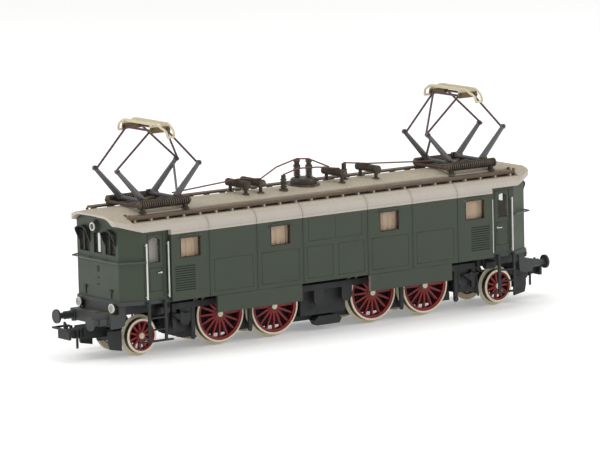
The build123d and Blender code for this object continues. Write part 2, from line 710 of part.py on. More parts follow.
def side_window_sketches(outward_y):
    """All openings of one side wall and its doors, drawn on a plane this far out."""
    low, high = (above_rail(z) for z in WINDOW_Z)
    plane = side_plane(0, -outward_y, 0)
    for mirror_sign in (-1, 1):
        for x0, x1 in SIDE_WINDOW_X:
            yield window_outline(plane, mirror_sign * (x0 + x1) / 2, x1 - x0, low, high, 0.05)


def door_window_sketches(outward_y):
    low, high = (above_rail(z) for z in DOOR_WINDOW_Z)
    plane = side_plane(0, -outward_y, 0)
    for mirror_sign in (-1, 1):
        centre = mirror_sign * (DOOR_WINDOW_X[0] + DOOR_WINDOW_X[1]) / 2
        yield window_outline(plane, centre, DOOR_WINDOW_X[1] - DOOR_WINDOW_X[0], low, high, 0.9)


def face_window_sketches(outward_x):
    plane = end_plane(outward_x)
    yield window_outline(plane, 0, 4.4, above_rail(33), above_rail(40), 0.5)
    for y in (-7.6, 7.6):
        yield window_outline(plane, y, 6.0, above_rail(33), above_rail(41), 0.9)


LOUVRE_X = (56.5, 64.5)
LOUVRE_Z = (20.2, 28.8)
LOUVRE_COUNT = 11

with BuildPart() as body_shell:
    with BuildSketch(Plane.XY.offset(FLOOR_CLEAR)):
        with BuildLine():
            Polyline(*body_plan, close=True)
        make_face()
    extrude(amount=above_rail(46) - FLOOR_CLEAR)
    with BuildSketch(Plane.XY.offset(FLOOR_CLEAR)):
        with BuildLine():
            Polyline(*body_plan, close=True)
        make_face()
        offset(amount=-WALL, kind=Kind.INTERSECTION, mode=Mode.REPLACE)
    extrude(amount=above_rail(46) - FLOOR_CLEAR, mode=Mode.SUBTRACT)
    add(eaves.part, mode=Mode.INTERSECT)
    block((-SIDE_END_X, SIDE_END_X), (-SIDE_Y, -SIDE_Y + WALL), (above_rail(SIDE_BOTTOM), FLOOR_CLEAR))
    for side in (-1, 1):
        low, high = sorted((side * SKIRT_X[0], side * SKIRT_X[1]))
        block((low, high), (-SIDE_Y, -SIDE_Y + 1.1), (above_rail(SKIRT_BOTTOM), above_rail(SIDE_BOTTOM)))
    for opening in side_window_sketches(SIDE_Y):
        extrude(opening, amount=-WALL - 1, mode=Mode.SUBTRACT)
    for opening in door_window_sketches(DOOR_Y):
        extrude(opening, amount=-WALL - 1, mode=Mode.SUBTRACT)
    slat_pitch = (LOUVRE_Z[1] - LOUVRE_Z[0]) / LOUVRE_COUNT
    for side in (-1, 1):
        low, high = sorted((side * LOUVRE_X[0], side * LOUVRE_X[1]))
        for slat in range(LOUVRE_COUNT):
            height = above_rail(LOUVRE_Z[0] + slat * slat_pitch)
            with BuildSketch(end_plane(low)):
                with BuildLine():
                    Polyline(
                        (-SIDE_Y - 0.1, height),
                        (-SIDE_Y - 0.1, height + slat_pitch * 0.55),
                        (-SIDE_Y + 0.4, height + slat_pitch * 0.55),
                        close=True,
                    )
                make_face()
            extrude(amount=high - low, mode=Mode.SUBTRACT)
    split(bisect_by=Plane.XZ, keep=Keep.TOP)
    mirror(about=Plane.XZ)
    for opening in face_window_sketches(FACE_X + 0.5):
        extrude(opening, amount=-WALL - 1, mode=Mode.SUBTRACT)
    for opening in face_window_sketches(-FACE_X - 0.5):
        extrude(opening, amount=WALL + 1, mode=Mode.SUBTRACT)
save(body_shell.part, "body_shell")

with BuildPart() as windows:
    for opening in side_window_sketches(SIDE_Y - 0.45):
        extrude(opening, amount=-(WALL - 0.45))
    for opening in door_window_sketches(DOOR_Y - 0.4):
        extrude(opening, amount=-(WALL - 0.4))
    mirror(about=Plane.XZ)
    for opening in face_window_sketches(FACE_X - 0.4):
        extrude(opening, amount=-(WALL - 0.4))
    for opening in face_window_sketches(-FACE_X + 0.4):
        extrude(opening, amount=WALL - 0.4)
save(windows.part, "windows")

# ---- roof section: straight foot, round shoulder and a wide flat crown
shoulder_centre = (ROOF_Y - SHOULDER_R, above_rail(39.65))


def shoulder_point(turn):
    angle = math.radians(turn)
    return (
        shoulder_centre[0] + SHOULDER_R * math.cos(angle),
        shoulder_centre[1] + SHOULDER_R * math.sin(angle),
    )


def roof_section(x):
    """Cross-section of the roof's outside on a plane square to X."""
    foot = shoulder_point(0)
    middle = shoulder_point(SHOULDER_TURN / 2)
    crown = shoulder_point(SHOULDER_TURN)
    with BuildSketch(end_plane(x)) as section:
        with BuildLine():
            Line((-foot[0], above_rail(EAVE_SIDE)), (foot[0], above_rail(EAVE_SIDE)))
            Line((foot[0], above_rail(EAVE_SIDE)), foot)
            ThreePointArc(foot, middle, crown)
            ThreePointArc(crown, (0, above_rail(RIDGE)), (-crown[0], crown[1]))
            ThreePointArc((-crown[0], crown[1]), (-middle[0], middle[1]), (-foot[0], foot[1]))
            Line((-foot[0], foot[1]), (-foot[0], above_rail(EAVE_SIDE)))
        make_face()
    return section.sketch


with BuildPart() as roof_outside:
    extrude(roof_section(-ROOF_END_X), amount=2 * ROOF_END_X)
    with BuildSketch(Plane.XY.offset(above_rail(35))):
        with BuildLine():
            Polyline(
                (DOOR_END_X + 0.6, -ROOF_Y - 0.3),
                (ROOF_END_X, -ROOF_END_Y),
                (ROOF_END_X, ROOF_END_Y),
                (DOOR_END_X + 0.6, ROOF_Y + 0.3),
                (-DOOR_END_X - 0.6, ROOF_Y + 0.3),
                (-ROOF_END_X, ROOF_END_Y),
                (-ROOF_END_X, -ROOF_END_Y),
                (-DOOR_END_X - 0.6, -ROOF_Y - 0.3),
                close=True,
            )
        make_face()
        fillet(vertices(), 2.2)
    extrude(amount=20, mode=Mode.INTERSECT)
    with BuildSketch(side_plane(0, -20, 0)):
        with BuildLine():
            Polyline(
                (-ROOF_END_X, above_rail(46.1)),
                (-ROOF_END_X, 20),
                (ROOF_END_X, 20),
                (ROOF_END_X, above_rail(46.1)),
            )
            drop_start = above_rail(RIDGE + 0.05)
            drop_middle = above_rail(RIDGE - 0.3)
            drop_end = above_rail(46.1)
            ThreePointArc((ROOF_END_X, drop_end), (78.5, drop_middle), (70, drop_start))
            Line((70, drop_start), (-70, drop_start))
            ThreePointArc((-70, drop_start), (-78.5, drop_middle), (-ROOF_END_X, drop_end))
        make_face()
    extrude(amount=-40, mode=Mode.INTERSECT)

with BuildPart() as roof:
    add(roof_outside.part)
    add(eaves.part, mode=Mode.SUBTRACT)
    pocket((-64.2, 64.2), (-15.9, 15.9), (above_rail(35), above_rail(42.2)))
    pocket((-64.2, 64.2), (-12.5, 12.5), (above_rail(42.2), above_rail(43.0)))
    pocket((-79, 79), (-13.2, 13.2), (above_rail(35), above_rail(42.2)))
    for low, high in ((-LEDGE_Y, -WALKWAY_Y[0]), (WALKWAY_Y[0], LEDGE_Y)):
        pocket((-WALKWAY_X, WALKWAY_X), (low, high), (above_rail(LEDGE), above_rail(50)))
save(roof.part, "roof")

with BuildPart() as window_hoods:
    for y in (-7.6, 7.6):
        with BuildSketch(end_plane(FACE_X)):
            with BuildLine():
                Polyline((y - 3.4, above_rail(36)), (y + 3.4, above_rail(36)), (y + 3.4, above_rail(40.5)))
                ThreePointArc(
                    (y + 3.4, above_rail(40.5)), (y, above_rail(41.6)), (y - 3.4, above_rail(40.5))
                )
                Line((y - 3.4, above_rail(40.5)), (y - 3.4, above_rail(36)))
            make_face()
            with BuildLine():
                Polyline((y - 3.05, above_rail(35)), (y + 3.05, above_rail(35)), (y + 3.05, above_rail(40.2)))
                ThreePointArc(
                    (y + 3.05, above_rail(40.2)), (y, above_rail(41.2)), (y - 3.05, above_rail(40.2))
                )
                Line((y - 3.05, above_rail(40.2)), (y - 3.05, above_rail(35)))
            make_face(mode=Mode.SUBTRACT)
        extrude(amount=1.7)
    with BuildSketch(side_plane(0, -20, 0)):
        with BuildLine():
            Polyline(
                (FACE_X, above_rail(36)),
                (FACE_X + 1.8, above_rail(40)),
                (FACE_X + 1.8, above_rail(35)),
                (FACE_X, above_rail(35)),
                close=True,
            )
        make_face()
    extrude(amount=-40, mode=Mode.SUBTRACT)
    mirror(about=Plane.YZ)
save(window_hoods.part, "window_hoods")

# ---- headlamps
TOP_LAMP_Z = above_rail(42.0)
LOWER_LAMP_Z = above_rail(16.1)
LOWER_LAMP_Y = 9.85
lamps = [
    (0, TOP_LAMP_Z, FACE_X, 85.1, 1.38),
    (-LOWER_LAMP_Y, LOWER_LAMP_Z, FACE_X + 0.5, 85.0, 1.52),
    (LOWER_LAMP_Y, LOWER_LAMP_Z, FACE_X + 0.5, 85.0, 1.52),
]

with BuildPart() as headlamps:
    for y, z, back, front, radius in lamps:
        rod((back, y, z), (front - 0.4, y, z), radius - 0.2)
        rod((front - 0.4, y, z), (front, y, z), radius)
        if y != 0:
            block((FACE_X, FACE_X + 0.6), (y - 1, y + 1), (BEAM_Z[1], FLOOR_BOTTOM))
    for y, z, back, front, radius in lamps:
        rod((front - 0.6, y, z), (front + 1, y, z), radius - 0.35, mode=Mode.SUBTRACT)
    mirror(about=Plane.YZ)
save(headlamps.part, "headlamps")

with BuildPart() as headlamp_lenses:
    for y, z, back, front, radius in lamps:
        rod((front - 0.6, y, z), (front - 0.1, y, z), radius - 0.35)
    mirror(about=Plane.YZ)
save(headlamp_lenses.part, "headlamp_lenses")

# ---- handrails
RAIL_R = 0.28
END_RAIL_Z = above_rail(31.1)
with BuildPart() as handrails:
    for x in (66.3, 74.8):
        y = -DOOR_Y - 0.75
        rod((x, y, above_rail(18.6)), (x, y, above_rail(37.0)), RAIL_R)
        for z in (above_rail(19.3), above_rail(36.3)):
            rod((x, y, z), (x, -DOOR_Y, z), 0.22)
    corners = [(75.6, -DOOR_Y), (75.6, -16.9), (84.3, -13.4), (84.3, 0)]
    for (x0, y0), (x1, y1) in zip(corners, corners[1:]):
        rod((x0, y0, END_RAIL_Z), (x1, y1, END_RAIL_Z), RAIL_R)
    for x0, y0 in corners[1:3]:
        with Locations((x0, y0, END_RAIL_Z)):
            Sphere(RAIL_R)
    rod((84.3, -4.5, END_RAIL_Z), (FACE_X, -4.5, END_RAIL_Z), 0.22)
    mirror(about=Plane.XZ)
    mirror(about=Plane.YZ)
save(handrails.part, "handrails")

# =====================================================================================
# Roof fittings
# =====================================================================================
STUB_PITCH = 6.4
STUB_COUNT = 25

with BuildPart() as roof_walkways:
    board_seat = above_rail(WALKWAY_TOP - BOARD_THICKNESS)
    for index in range(STUB_COUNT):
        x = (index - (STUB_COUNT - 1) / 2) * STUB_PITCH
        block((x - 0.3, x + 0.3), (-WALKWAY_Y[1] - 0.3, -WALKWAY_Y[1] + 2), (above_rail(LEDGE), board_seat))
    board_high = above_rail(WALKWAY_TOP)
    block((-WALKWAY_X, WALKWAY_X), (-WALKWAY_Y[1], -WALKWAY_Y[0]), (board_seat, board_high))
    for x in (-WALKWAY_X + 0.35, WALKWAY_X - 0.35):
        for y in (-WALKWAY_Y[1] + 0.35, -WALKWAY_Y[0] - 0.35):
            block((x - 0.35, x + 0.35), (y - 0.35, y + 0.35), (board_high, board_high + 0.8))
    mirror(about=Plane.XZ)
save(roof_walkways.part, "roof_walkways")

BAR_INSULATOR_X = [-27.0, -21.0, 12.3, 26.4]
BAR_INSULATOR_Z = above_rail(50.3)
BAR_INSULATOR_R = 1.3
SWITCH_POSTS = [(-1.9, 1.5), (0.9, -1.5)]
SWITCH_TOP = above_rail(55.8)
SINGLE_POSTS = [(-12.0, -5.0, above_rail(52.1)), (16.4, 0.0, above_rail(52.8))]

with BuildPart() as roof_insulators:
    with BuildSketch(side_plane(-0.35, 0, 0)):
        with BuildLine():
            Polyline(
                (0, above_rail(49.8)),
                (0, above_rail(46)),
                (5.5, above_rail(46)),
                (5.5, above_rail(47.7)),
                (4.5, above_rail(47.7)),
                (4.5, above_rail(48.7)),
            )
            ThreePointArc((4.5, above_rail(48.7)), (4.1, above_rail(49.5)), (3.3, above_rail(49.8)))
            Line((3.3, above_rail(49.8)), (0, above_rail(49.8)))
        make_face()
    revolve(axis=Axis((-0.35, 0, 0), (0, 0, 1)))
    for x, y in SWITCH_POSTS:
        rod((x, y, above_rail(49.5)), (x, y, SWITCH_TOP), 0.85)
        for step in range(4):
            z = above_rail(50.3) + step * 0.7
            rod((x, y, z), (x, y, z + 0.35), 1.2)
        rod((x, y, above_rail(53.1)), (x, y, above_rail(54.0)), 1.2)
        rod((x, y, SWITCH_TOP - 0.9), (x, y, SWITCH_TOP), 1.1)
    for x, y, top in SINGLE_POSTS:
        rod((x, y, above_rail(46.2)), (x, y, top), 0.8)
        rod((x, y, above_rail(46.2)), (x, y, above_rail(47.6)), 1.5)
        for step in range(4):
            z = above_rail(48.0) + step * 0.8
            rod((x, y, z), (x, y, z + 0.4), 1.12)
    for x in BAR_INSULATOR_X:
        rod((x, -6, BAR_INSULATOR_Z), (x, 6, BAR_INSULATOR_Z), 0.85)
        for step in range(14):
            y = -5.85 + step * 0.87
            rod((x, y, BAR_INSULATOR_Z), (x, y + 0.4, BAR_INSULATOR_Z), BAR_INSULATOR_R)
        for y in (-4.5, 4.5):
            rod((x, y, above_rail(46.2)), (x, y, BAR_INSULATOR_Z), 0.6)
            rod((x, y, above_rail(46.2)), (x, y, above_rail(47.4)), 1.2)
    add(roof_outside.part, mode=Mode.SUBTRACT)
save(roof_insulators.part, "roof_insulators")

WIRE_R = 0.25
wire_top = BAR_INSULATOR_Z + BAR_INSULATOR_R + WIRE_R - 0.1
busbars = [
    [(-53.2, 0, above_rail(49.9)), (-27, 0, wire_top), (-21, -4.6, wire_top), (-12, -1, above_rail(54.4))],
    [(-12, -1, above_rail(54.4)), (-1.9, 1.5, SWITCH_TOP + 0.2), (0.9, -1.5, SWITCH_TOP + 0.2)],
    [(0.9, -1.5, SWITCH_TOP + 0.2), (12.3, 3, wire_top)],
    [(-12, -5, above_rail(52.3)), (-5, -3.9, above_rail(53.6)), (3, -3.9, above_rail(53.2))],
    [(3, -3.9, above_rail(53.2)), (12.3, -3, wire_top)],
    [(16.4, 0, above_rail(53.0)), (26.4, 0, wire_top), (53.2, 0, above_rail(49.9))],
]
with BuildPart() as roof_wiring:
    for points in busbars:
        for start, end in zip(points, points[1:]):
            rod(start, end, WIRE_R)
        for point in points:
            with Locations(point):
                Sphere(WIRE_R)
    add(roof_insulators.part, mode=Mode.SUBTRACT)
save(roof_wiring.part, "roof_wiring")

# =====================================================================================
# Pantographs
# =====================================================================================
SHAFT_PIN_R = 0.6
KNEE_PIN_R = 0.4
HEAD_PIN_R = 0.4
KNEE_OFFSET = PANTO_BASE_OFFSET + PANTO_LOWER_LENGTH * math.cos(math.radians(PANTO_LOWER_ANGLE))
KNEE_Z = above_rail(PANTO_BASE) + PANTO_LOWER_LENGTH * math.sin(math.radians(PANTO_LOWER_ANGLE))
HEAD_OFFSET = KNEE_OFFSET - PANTO_UPPER_LENGTH * math.cos(math.radians(PANTO_UPPER_ANGLE))
HEAD_Z = KNEE_Z + PANTO_UPPER_LENGTH * math.sin(math.radians(PANTO_UPPER_ANGLE))
BASE_Z = above_rail(PANTO_BASE)
BASE_RAIL_Y = 9.3
BASE_RAIL_Z = above_rail(48.6)
LOWER_ARM_Y = 6.7
LOWER_ARM_R = (1.1, 0.7)
UPPER_ARM_Y = (5.6, 7.2)
UPPER_ARM_R = 0.36
BRACE_R = 0.4
BRACKET_Y = 8.2
BAR_TOP = above_rail(74.8)
BAR_OFFSET = 2.1
HORN_Y = 14.5


def at(along, y, z):
    """Point of the front pantograph, measured along the locomotive from its middle."""
    return (along - PANTO_X, y, z)


def save_both(part, name):
    """Save a front pantograph piece, and the rear one that is the same turned half round."""
    save(part, f"{name}_front")
    save(Rot(0, 0, 180) * part, f"{name}_rear")


with BuildPart() as base:
    for y in (-BASE_RAIL_Y, BASE_RAIL_Y):
        rod(at(-9.9, y, BASE_RAIL_Z), at(9.9, y, BASE_RAIL_Z), 1.1)
        for step in range(23):
            along = -9.8 + step * 0.86
            rod(at(along, y, BASE_RAIL_Z), at(along + 0.45, y, BASE_RAIL_Z), 1.5)
        for along in (-8.4, 8.4):
            rod(at(along, y, above_rail(44.5)), at(along, y, BASE_RAIL_Z), 0.9)
            rod(at(along, y, above_rail(44.5)), at(along, y, above_rail(46.3)), 1.4)
    for along in (-PANTO_BASE_OFFSET, PANTO_BASE_OFFSET):
        middle = along - PANTO_X
        for low, high in ((-8.9, -7.9), (7.9, 8.9)):
            block((middle - 1.1, middle + 1.1), (low, high), (BASE_RAIL_Z, BASE_Z + 1.1))
        hole = SHAFT_PIN_R + RUNNING_GAP
        rod(at(along, -8.9, BASE_Z), at(along, 8.9, BASE_Z), hole, mode=Mode.SUBTRACT)
    for along in (-9.4, 9.4):
        middle = along - PANTO_X
        cross_z = (BASE_RAIL_Z - 1.0, BASE_RAIL_Z - 0.1)
        block((middle - 0.5, middle + 0.5), (-BASE_RAIL_Y, BASE_RAIL_Y), cross_z)
    add(roof_outside.part, mode=Mode.SUBTRACT)
    add(roof_walkways.part, mode=Mode.SUBTRACT)
save_both(base.part, "panto_base")

for letter, way in (("a", 1), ("b", -1)):
    pivot = way * PANTO_BASE_OFFSET
    knee = way * KNEE_OFFSET
    with BuildPart() as lower:
        rod(at(pivot, -8.8, BASE_Z), at(pivot, 8.8, BASE_Z), SHAFT_PIN_R)
        for y in (-LOWER_ARM_Y, LOWER_ARM_Y):
            rod(at(pivot, y, BASE_Z), at(knee, y, KNEE_Z), *LOWER_ARM_R)
            rod(at(knee, y - 0.45, KNEE_Z), at(knee, y + 0.45, KNEE_Z), 0.85)
            hole = KNEE_PIN_R + RUNNING_GAP
            rod(at(knee, y - 1, KNEE_Z), at(knee, y + 1, KNEE_Z), hole, mode=Mode.SUBTRACT)
        if letter == "a":
            lean = math.radians(PANTO_LOWER_ANGLE)
            low_end = 1.2
            high_end = PANTO_LOWER_LENGTH - 1.6
            start = (pivot + low_end * math.cos(lean), BASE_Z + low_end * math.sin(lean))
            finish = (pivot + high_end * math.cos(lean), BASE_Z + high_end * math.sin(lean))
            rod(at(start[0], -LOWER_ARM_Y, start[1]), at(finish[0], LOWER_ARM_Y, finish[1]), BRACE_R)
    save_both(lower.part, f"panto_lower_{letter}")

    head = way * HEAD_OFFSET
    with BuildPart() as upper:
        rod(at(head, -8.7, HEAD_Z), at(head, 8.7, HEAD_Z), HEAD_PIN_R)
        for side in (-1, 1):
            foot_y = side * UPPER_ARM_Y[0]
            top_y = side * UPPER_ARM_Y[1]
            rod(at(knee, foot_y - side * 0.3, KNEE_Z), at(knee, side * 7.5, KNEE_Z), KNEE_PIN_R)
            rod(at(knee, foot_y, KNEE_Z), at(head, top_y, HEAD_Z), UPPER_ARM_R)
        if letter == "a":
            rod(at(knee, UPPER_ARM_Y[0], KNEE_Z), at(head, -UPPER_ARM_Y[1], HEAD_Z), UPPER_ARM_R)
    save_both(upper.part, f"panto_upper_{letter}")

with BuildPart() as pan_head:
    for along in (-BAR_OFFSET, BAR_OFFSET):
        middle = along - PANTO_X
        block((middle - 0.6, middle + 0.6), (-9.5, 9.5), (BAR_TOP - 0.8, BAR_TOP))
        for side in (-1, 1):
            with BuildLine() as horn:
                Spline(
                    at(along, side * 9.4, BAR_TOP - 0.4),
                    at(along * 0.92, side * 12.0, BAR_TOP - 1.3),
                    at(along * 0.62, side * HORN_Y, BAR_TOP - 4.2),
                    tangents=((0, side, 0), (0, 0, -1)),
                )
            horn_path = horn.wires()[0]
            with BuildSketch(Plane(origin=horn_path @ 0, z_dir=horn_path % 0)) as horn_end:
                Circle(0.4)
            sweep(horn_end.sketch, path=horn_path)
    for side in (-1, 1):
        rod(
            at(-BAR_OFFSET * 0.62, side * HORN_Y, BAR_TOP - 4.2),
            at(BAR_OFFSET * 0.62, side * HORN_Y, BAR_TOP - 4.2),
            0.4,
        )
        y = side * BRACKET_Y
        block((-PANTO_X - 3.8, -PANTO_X + 3.8), (y - 0.3, y + 0.3), (HEAD_Z - 0.8, BAR_TOP - 0.6))
        hole = HEAD_PIN_R + RUNNING_GAP
        for along in (HEAD_OFFSET, -HEAD_OFFSET - 0.35, -HEAD_OFFSET, -HEAD_OFFSET + 0.35):
            rod(at(along, y - 1, HEAD_Z), at(along, y + 1, HEAD_Z), hole, mode=Mode.SUBTRACT)
save_both(pan_head.part, "pan_head")
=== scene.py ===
"""Looks of the model electric locomotive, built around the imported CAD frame."""
import math

import bmesh
import bpy
from mathutils import Matrix, Vector


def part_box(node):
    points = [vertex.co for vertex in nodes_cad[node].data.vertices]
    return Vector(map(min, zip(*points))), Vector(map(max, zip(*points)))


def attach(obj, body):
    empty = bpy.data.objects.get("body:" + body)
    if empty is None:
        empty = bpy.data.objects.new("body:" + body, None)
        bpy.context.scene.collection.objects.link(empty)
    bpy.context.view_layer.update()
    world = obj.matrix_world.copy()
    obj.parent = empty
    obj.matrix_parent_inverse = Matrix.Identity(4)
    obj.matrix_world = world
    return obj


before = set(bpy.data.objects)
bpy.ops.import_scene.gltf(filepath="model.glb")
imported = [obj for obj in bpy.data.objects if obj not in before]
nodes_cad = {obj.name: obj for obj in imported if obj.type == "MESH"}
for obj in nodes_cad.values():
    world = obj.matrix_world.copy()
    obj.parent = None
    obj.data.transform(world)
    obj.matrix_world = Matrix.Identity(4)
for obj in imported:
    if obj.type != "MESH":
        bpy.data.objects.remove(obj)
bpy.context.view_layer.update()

MM = 0.001
RAIL = 1.1  # height of the rail head above the lowest flange, in millimetres


def srgb(r, g, b):
    """Linear colour from 8-bit display values."""
    def lin(v):
        v = v / 255
        return v / 12.92 if v <= 0.04045 else ((v + 0.055) / 1.055) ** 2.4
    return (lin(r), lin(g), lin(b), 1.0)


def scaled(colour, k):
    """A colour made k times as bright."""
    return tuple(min(1.0, c * k) for c in colour[:3]) + (1.0,)


# ------------------------------------------------------------------ materials
class Shader:
    """A small wrapper that builds one node material."""

    def __init__(self, name):
        self.material = bpy.data.materials.new(name)
        self.material.use_nodes = True
        self.nodes = self.material.node_tree.nodes
        self.links = self.material.node_tree.links
        self.bsdf = self.nodes["Principled BSDF"]
        self.coord = self.add("ShaderNodeTexCoord").outputs["Object"]

    def add(self, kind, **props):
        node = self.nodes.new(kind)
        for key, value in props.items():
            setattr(node, key, value)
        return node

    def put(self, node, inputs):
        for key, value in inputs.items():
            socket = node.inputs[key]
            if isinstance(value, bpy.types.NodeSocket):
                self.links.new(value, socket)
            else:
                socket.default_value = value
        return node

    def noise(self, scale, detail=4.0, roughness=0.55, vector=None):
        node = self.add("ShaderNodeTexNoise")
        self.put(node, {"Vector": vector or self.coord, "Scale": scale, "Detail": detail,
                        "Roughness": roughness})
        return node.outputs["Fac"]

    def ramp(self, value, stops):
        node = self.add("ShaderNodeValToRGB")
        self.links.new(value, node.inputs["Fac"])
        elements = node.color_ramp.elements
        while len(elements) < len(stops):
            elements.new(0.5)
        for element, (position, colour) in zip(elements, stops):
            element.position = position
            element.color = colour
        return node.outputs["Color"]

    def math(self, operation, a, b=0.0, clamp=False):
        node = self.add("ShaderNodeMath", operation=operation, use_clamp=clamp)
        self.put(node, {0: a, 1: b})
        return node.outputs[0]

    def mix(self, factor, a, b):
        node = self.add("ShaderNodeMix", data_type="RGBA", blend_type="MIX")
        self.put(node, {0: factor, 6: a, 7: b})
        return node.outputs[2]

    def span(self, value, low, high, to_low=0.0, to_high=1.0):
        node = self.add("ShaderNodeMapRange")
        self.put(node, {"Value": value, "From Min": low, "From Max": high,
                        "To Min": to_low, "To Max": to_high})
        return node.outputs[0]

    def stretch(self, scale):
        node = self.add("ShaderNodeMapping")
        self.put(node, {"Vector": self.coord, "Scale": scale})
        return node.outputs["Vector"]

    def axis(self, name):
        node = self.add("ShaderNodeSeparateXYZ")
        self.links.new(self.coord, node.inputs[0])
        return node.outputs[name]

    def facing(self, name):
        geometry = self.add("ShaderNodeNewGeometry")
        node = self.add("ShaderNodeSeparateXYZ")
        self.links.new(geometry.outputs["Normal"], node.inputs[0])
        return node.outputs[name]

    def edges(self, low, high):
        geometry = self.add("ShaderNodeNewGeometry")
        return self.span(geometry.outputs["Pointiness"], low, high)

    def between(self, value, low, high):
        """Mask that is 1 where value lies between low and high."""
        above = self.math("GREATER_THAN", value, low)
        return self.math("MULTIPLY", above, self.math("LESS_THAN", value, high))

    def outward(self, name):
        """Distance from the middle of the model along an axis."""
        return self.math("ABSOLUTE", self.axis(name))

    def distance(self, centre):
        """Distance from an axle line through centre, along Y."""
        shift = self.add("ShaderNodeVectorMath", operation="SUBTRACT")
        self.put(shift, {0: self.coord, 1: centre})
        flat = self.add("ShaderNodeVectorMath", operation="MULTIPLY")
        self.put(flat, {0: shift.outputs[0], 1: (1, 0, 1)})
        length = self.add("ShaderNodeVectorMath", operation="LENGTH")
        self.links.new(flat.outputs[0], length.inputs[0])
        return length.outputs["Value"]

    def bump(self, height, strength, distance):
        node = self.add("ShaderNodeBump")
        self.put(node, {"Height": height, "Strength": strength, "Distance": distance})
        self.links.new(node.outputs[0], self.bsdf.inputs["Normal"])


GRAIN = 2600.0  # scale of the fine noise
SPECULAR = 0.4


def painted(name, colour, spread, scale, rough, bump, metallic=0.0,
            edge=None, sheen_at=None, dust=None, streak=None, layers=None):
    """Painted or moulded surface: mottled colour, fine grain, a painted highlight along sharp edges, settled
    dust.
    """
    s = Shader(name)
    broad = s.noise(scale, 5.0, 0.6)
    fine = s.noise(GRAIN, 3.0, 0.6)
    tone = s.math("ADD", s.math("MULTIPLY", broad, 0.7), s.math("MULTIPLY", fine, 0.3))
    dark = scaled(colour, 1 - spread)
    light = scaled(colour, 1 + spread)
    result = s.ramp(tone, [(0.30, dark), (0.50, colour), (0.72, light)])
    if layers:
        result = layers(s, result)
    if streak:
        lines = s.noise(60.0, 4.0, 0.6, vector=s.stretch((14.0, 14.0, 0.8)))
        result = s.mix(s.span(lines, 0.52, 0.80, 0.0, 0.55), result, streak)
    # painted highlight: a lighter colour along sharp edges
    if edge:
        edge_sheen = s.math("MULTIPLY", s.edges(*sheen_at), s.span(s.noise(420.0, 4.0), 0.35, 0.62), clamp=True)
        result = s.mix(edge_sheen, result, edge)
    if dust:
        up = s.math("MULTIPLY", s.span(s.facing("Z"), 0.55, 1.0), s.span(s.noise(240.0, 5.0), 0.35, 0.75))
        result = s.mix(s.math("MULTIPLY", up, 0.6), result, dust)
    s.links.new(result, s.bsdf.inputs["Base Color"])
    s.links.new(s.span(s.noise(scale * 3.1, 4.0), 0.3, 0.7, *rough), s.bsdf.inputs["Roughness"])
    s.bsdf.inputs["Metallic"].default_value = metallic
    s.bsdf.inputs["Specular IOR Level"].default_value = SPECULAR
    s.bump(s.math("ADD", fine, s.math("MULTIPLY", broad, 0.4)), bump, 0.00006)
    return s.material


def glass_like(name, colour, rough, alpha):
    """Clear plastic: nearly smooth, with a faint unevenness."""
    s = Shader(name)
    tone = s.noise(140.0, 4.0)
    tint = s.ramp(tone, [(0.3, scaled(colour, 0.8)), (0.7, scaled(colour, 1.15))])
    s.links.new(tint, s.bsdf.inputs["Base Color"])
    s.links.new(s.span(s.noise(700.0, 3.0), 0.3, 0.7, rough, rough + 0.12), s.bsdf.inputs["Roughness"])
    s.bsdf.inputs["IOR"].default_value = 1.49
    s.bsdf.inputs["Alpha"].default_value = alpha
    s.bump(tone, 0.05, 0.00004)
    return s.material


def assign(material, *names):
    """Give CAD nodes a material."""
    for name in names:
        cad = nodes_cad[name]
        cad.data.materials.clear()
        cad.data.materials.append(material)


GREEN = srgb(55, 64, 50)
ROOF = srgb(184, 176, 166)
RED = srgb(124, 27, 31)
CREAM = srgb(226, 216, 190)
NICKEL = srgb(205, 196, 170)
BLACK = srgb(38, 39, 40)
SILVER = srgb(214, 213, 208)
DULL_GREEN = srgb(78, 84, 73)
axles = {}  # middle of each wheelset's axle
for number in range(1, 5):
    low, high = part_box(f"drive_axle_{number}")
    axles[f"drive_{number}"] = ((low.x + high.x) / 2, 0.0, (low.z + high.z) / 2)
for end in ("front", "rear"):
    low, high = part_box(f"carrying_axle_{end}")
    axles[f"carrying_{end}"] = ((low.x + high.x) / 2, 0.0, (low.z + high.z) / 2)

# where one colour ends on a CAD node, in millimetres
INNER_WALL = 9  # inner walls face the middle from at least this far out
BOARD_BOTTOM = 44.55  # walkway boards, above the rail head
BOARD_TOP = 45.55
RAIL_BEND_X = 75.3  # the handrails turn round the cab ends here
LAMP_RIM_X = 84.58
LENS_SPLIT_Z = 30  # between the two lower lamps and the top one
HEAD_BAR_Z = 73.5  # underside of the collector bars, above the rail head
HEAD_BRACKET_Y = 9
# flange, tread and face of a wheel, by distance from the middle plane; the dark tread colour is painted
# shade and reflection on the nickel tread
RING_BANDS = ((0, 8.1, NICKEL), (8.1, 9.75, srgb(40, 37, 34)), (9.75, 12, CREAM))
CARRYING_RIM = 4.95  # where a wheel's painted centre ends
DRIVE_RIM = 8.7


def body_layers(s, colour):
    """Pale grey on the walls that face inwards."""
    across = s.math("MULTIPLY", s.facing("Y"), s.axis("Y"))
    along = s.math("MULTIPLY", s.facing("X"), s.axis("X"))
    inwards = s.math("LESS_THAN", s.math("ADD", across, along), -INNER_WALL * MM)
    return s.mix(inwards, colour, srgb(150, 148, 140))


m_body = painted("body_green", GREEN, 0.05, 60.0, (0.40, 0.52), 0.12, layers=body_layers)


def roof_layers(s, colour):
    """Makes the flat crown yellower and darker than the sides, in patches, with small dark specks."""
    up = s.span(s.facing("Z"), 0.55, 0.95, 0.0, 0.9)
    patches = s.span(s.noise(55.0, 5.0), 0.3, 0.7, 0.6, 1.0)
    speckle = s.span(s.noise(1100.0, 3.0), 0.42, 0.62, 0.0, 0.38)
    crown_tone = s.mix(s.math("MULTIPLY", up, patches), colour, srgb(176, 164, 140))
    return s.mix(s.math("MULTIPLY", up, speckle), crown_tone, srgb(132, 120, 98))


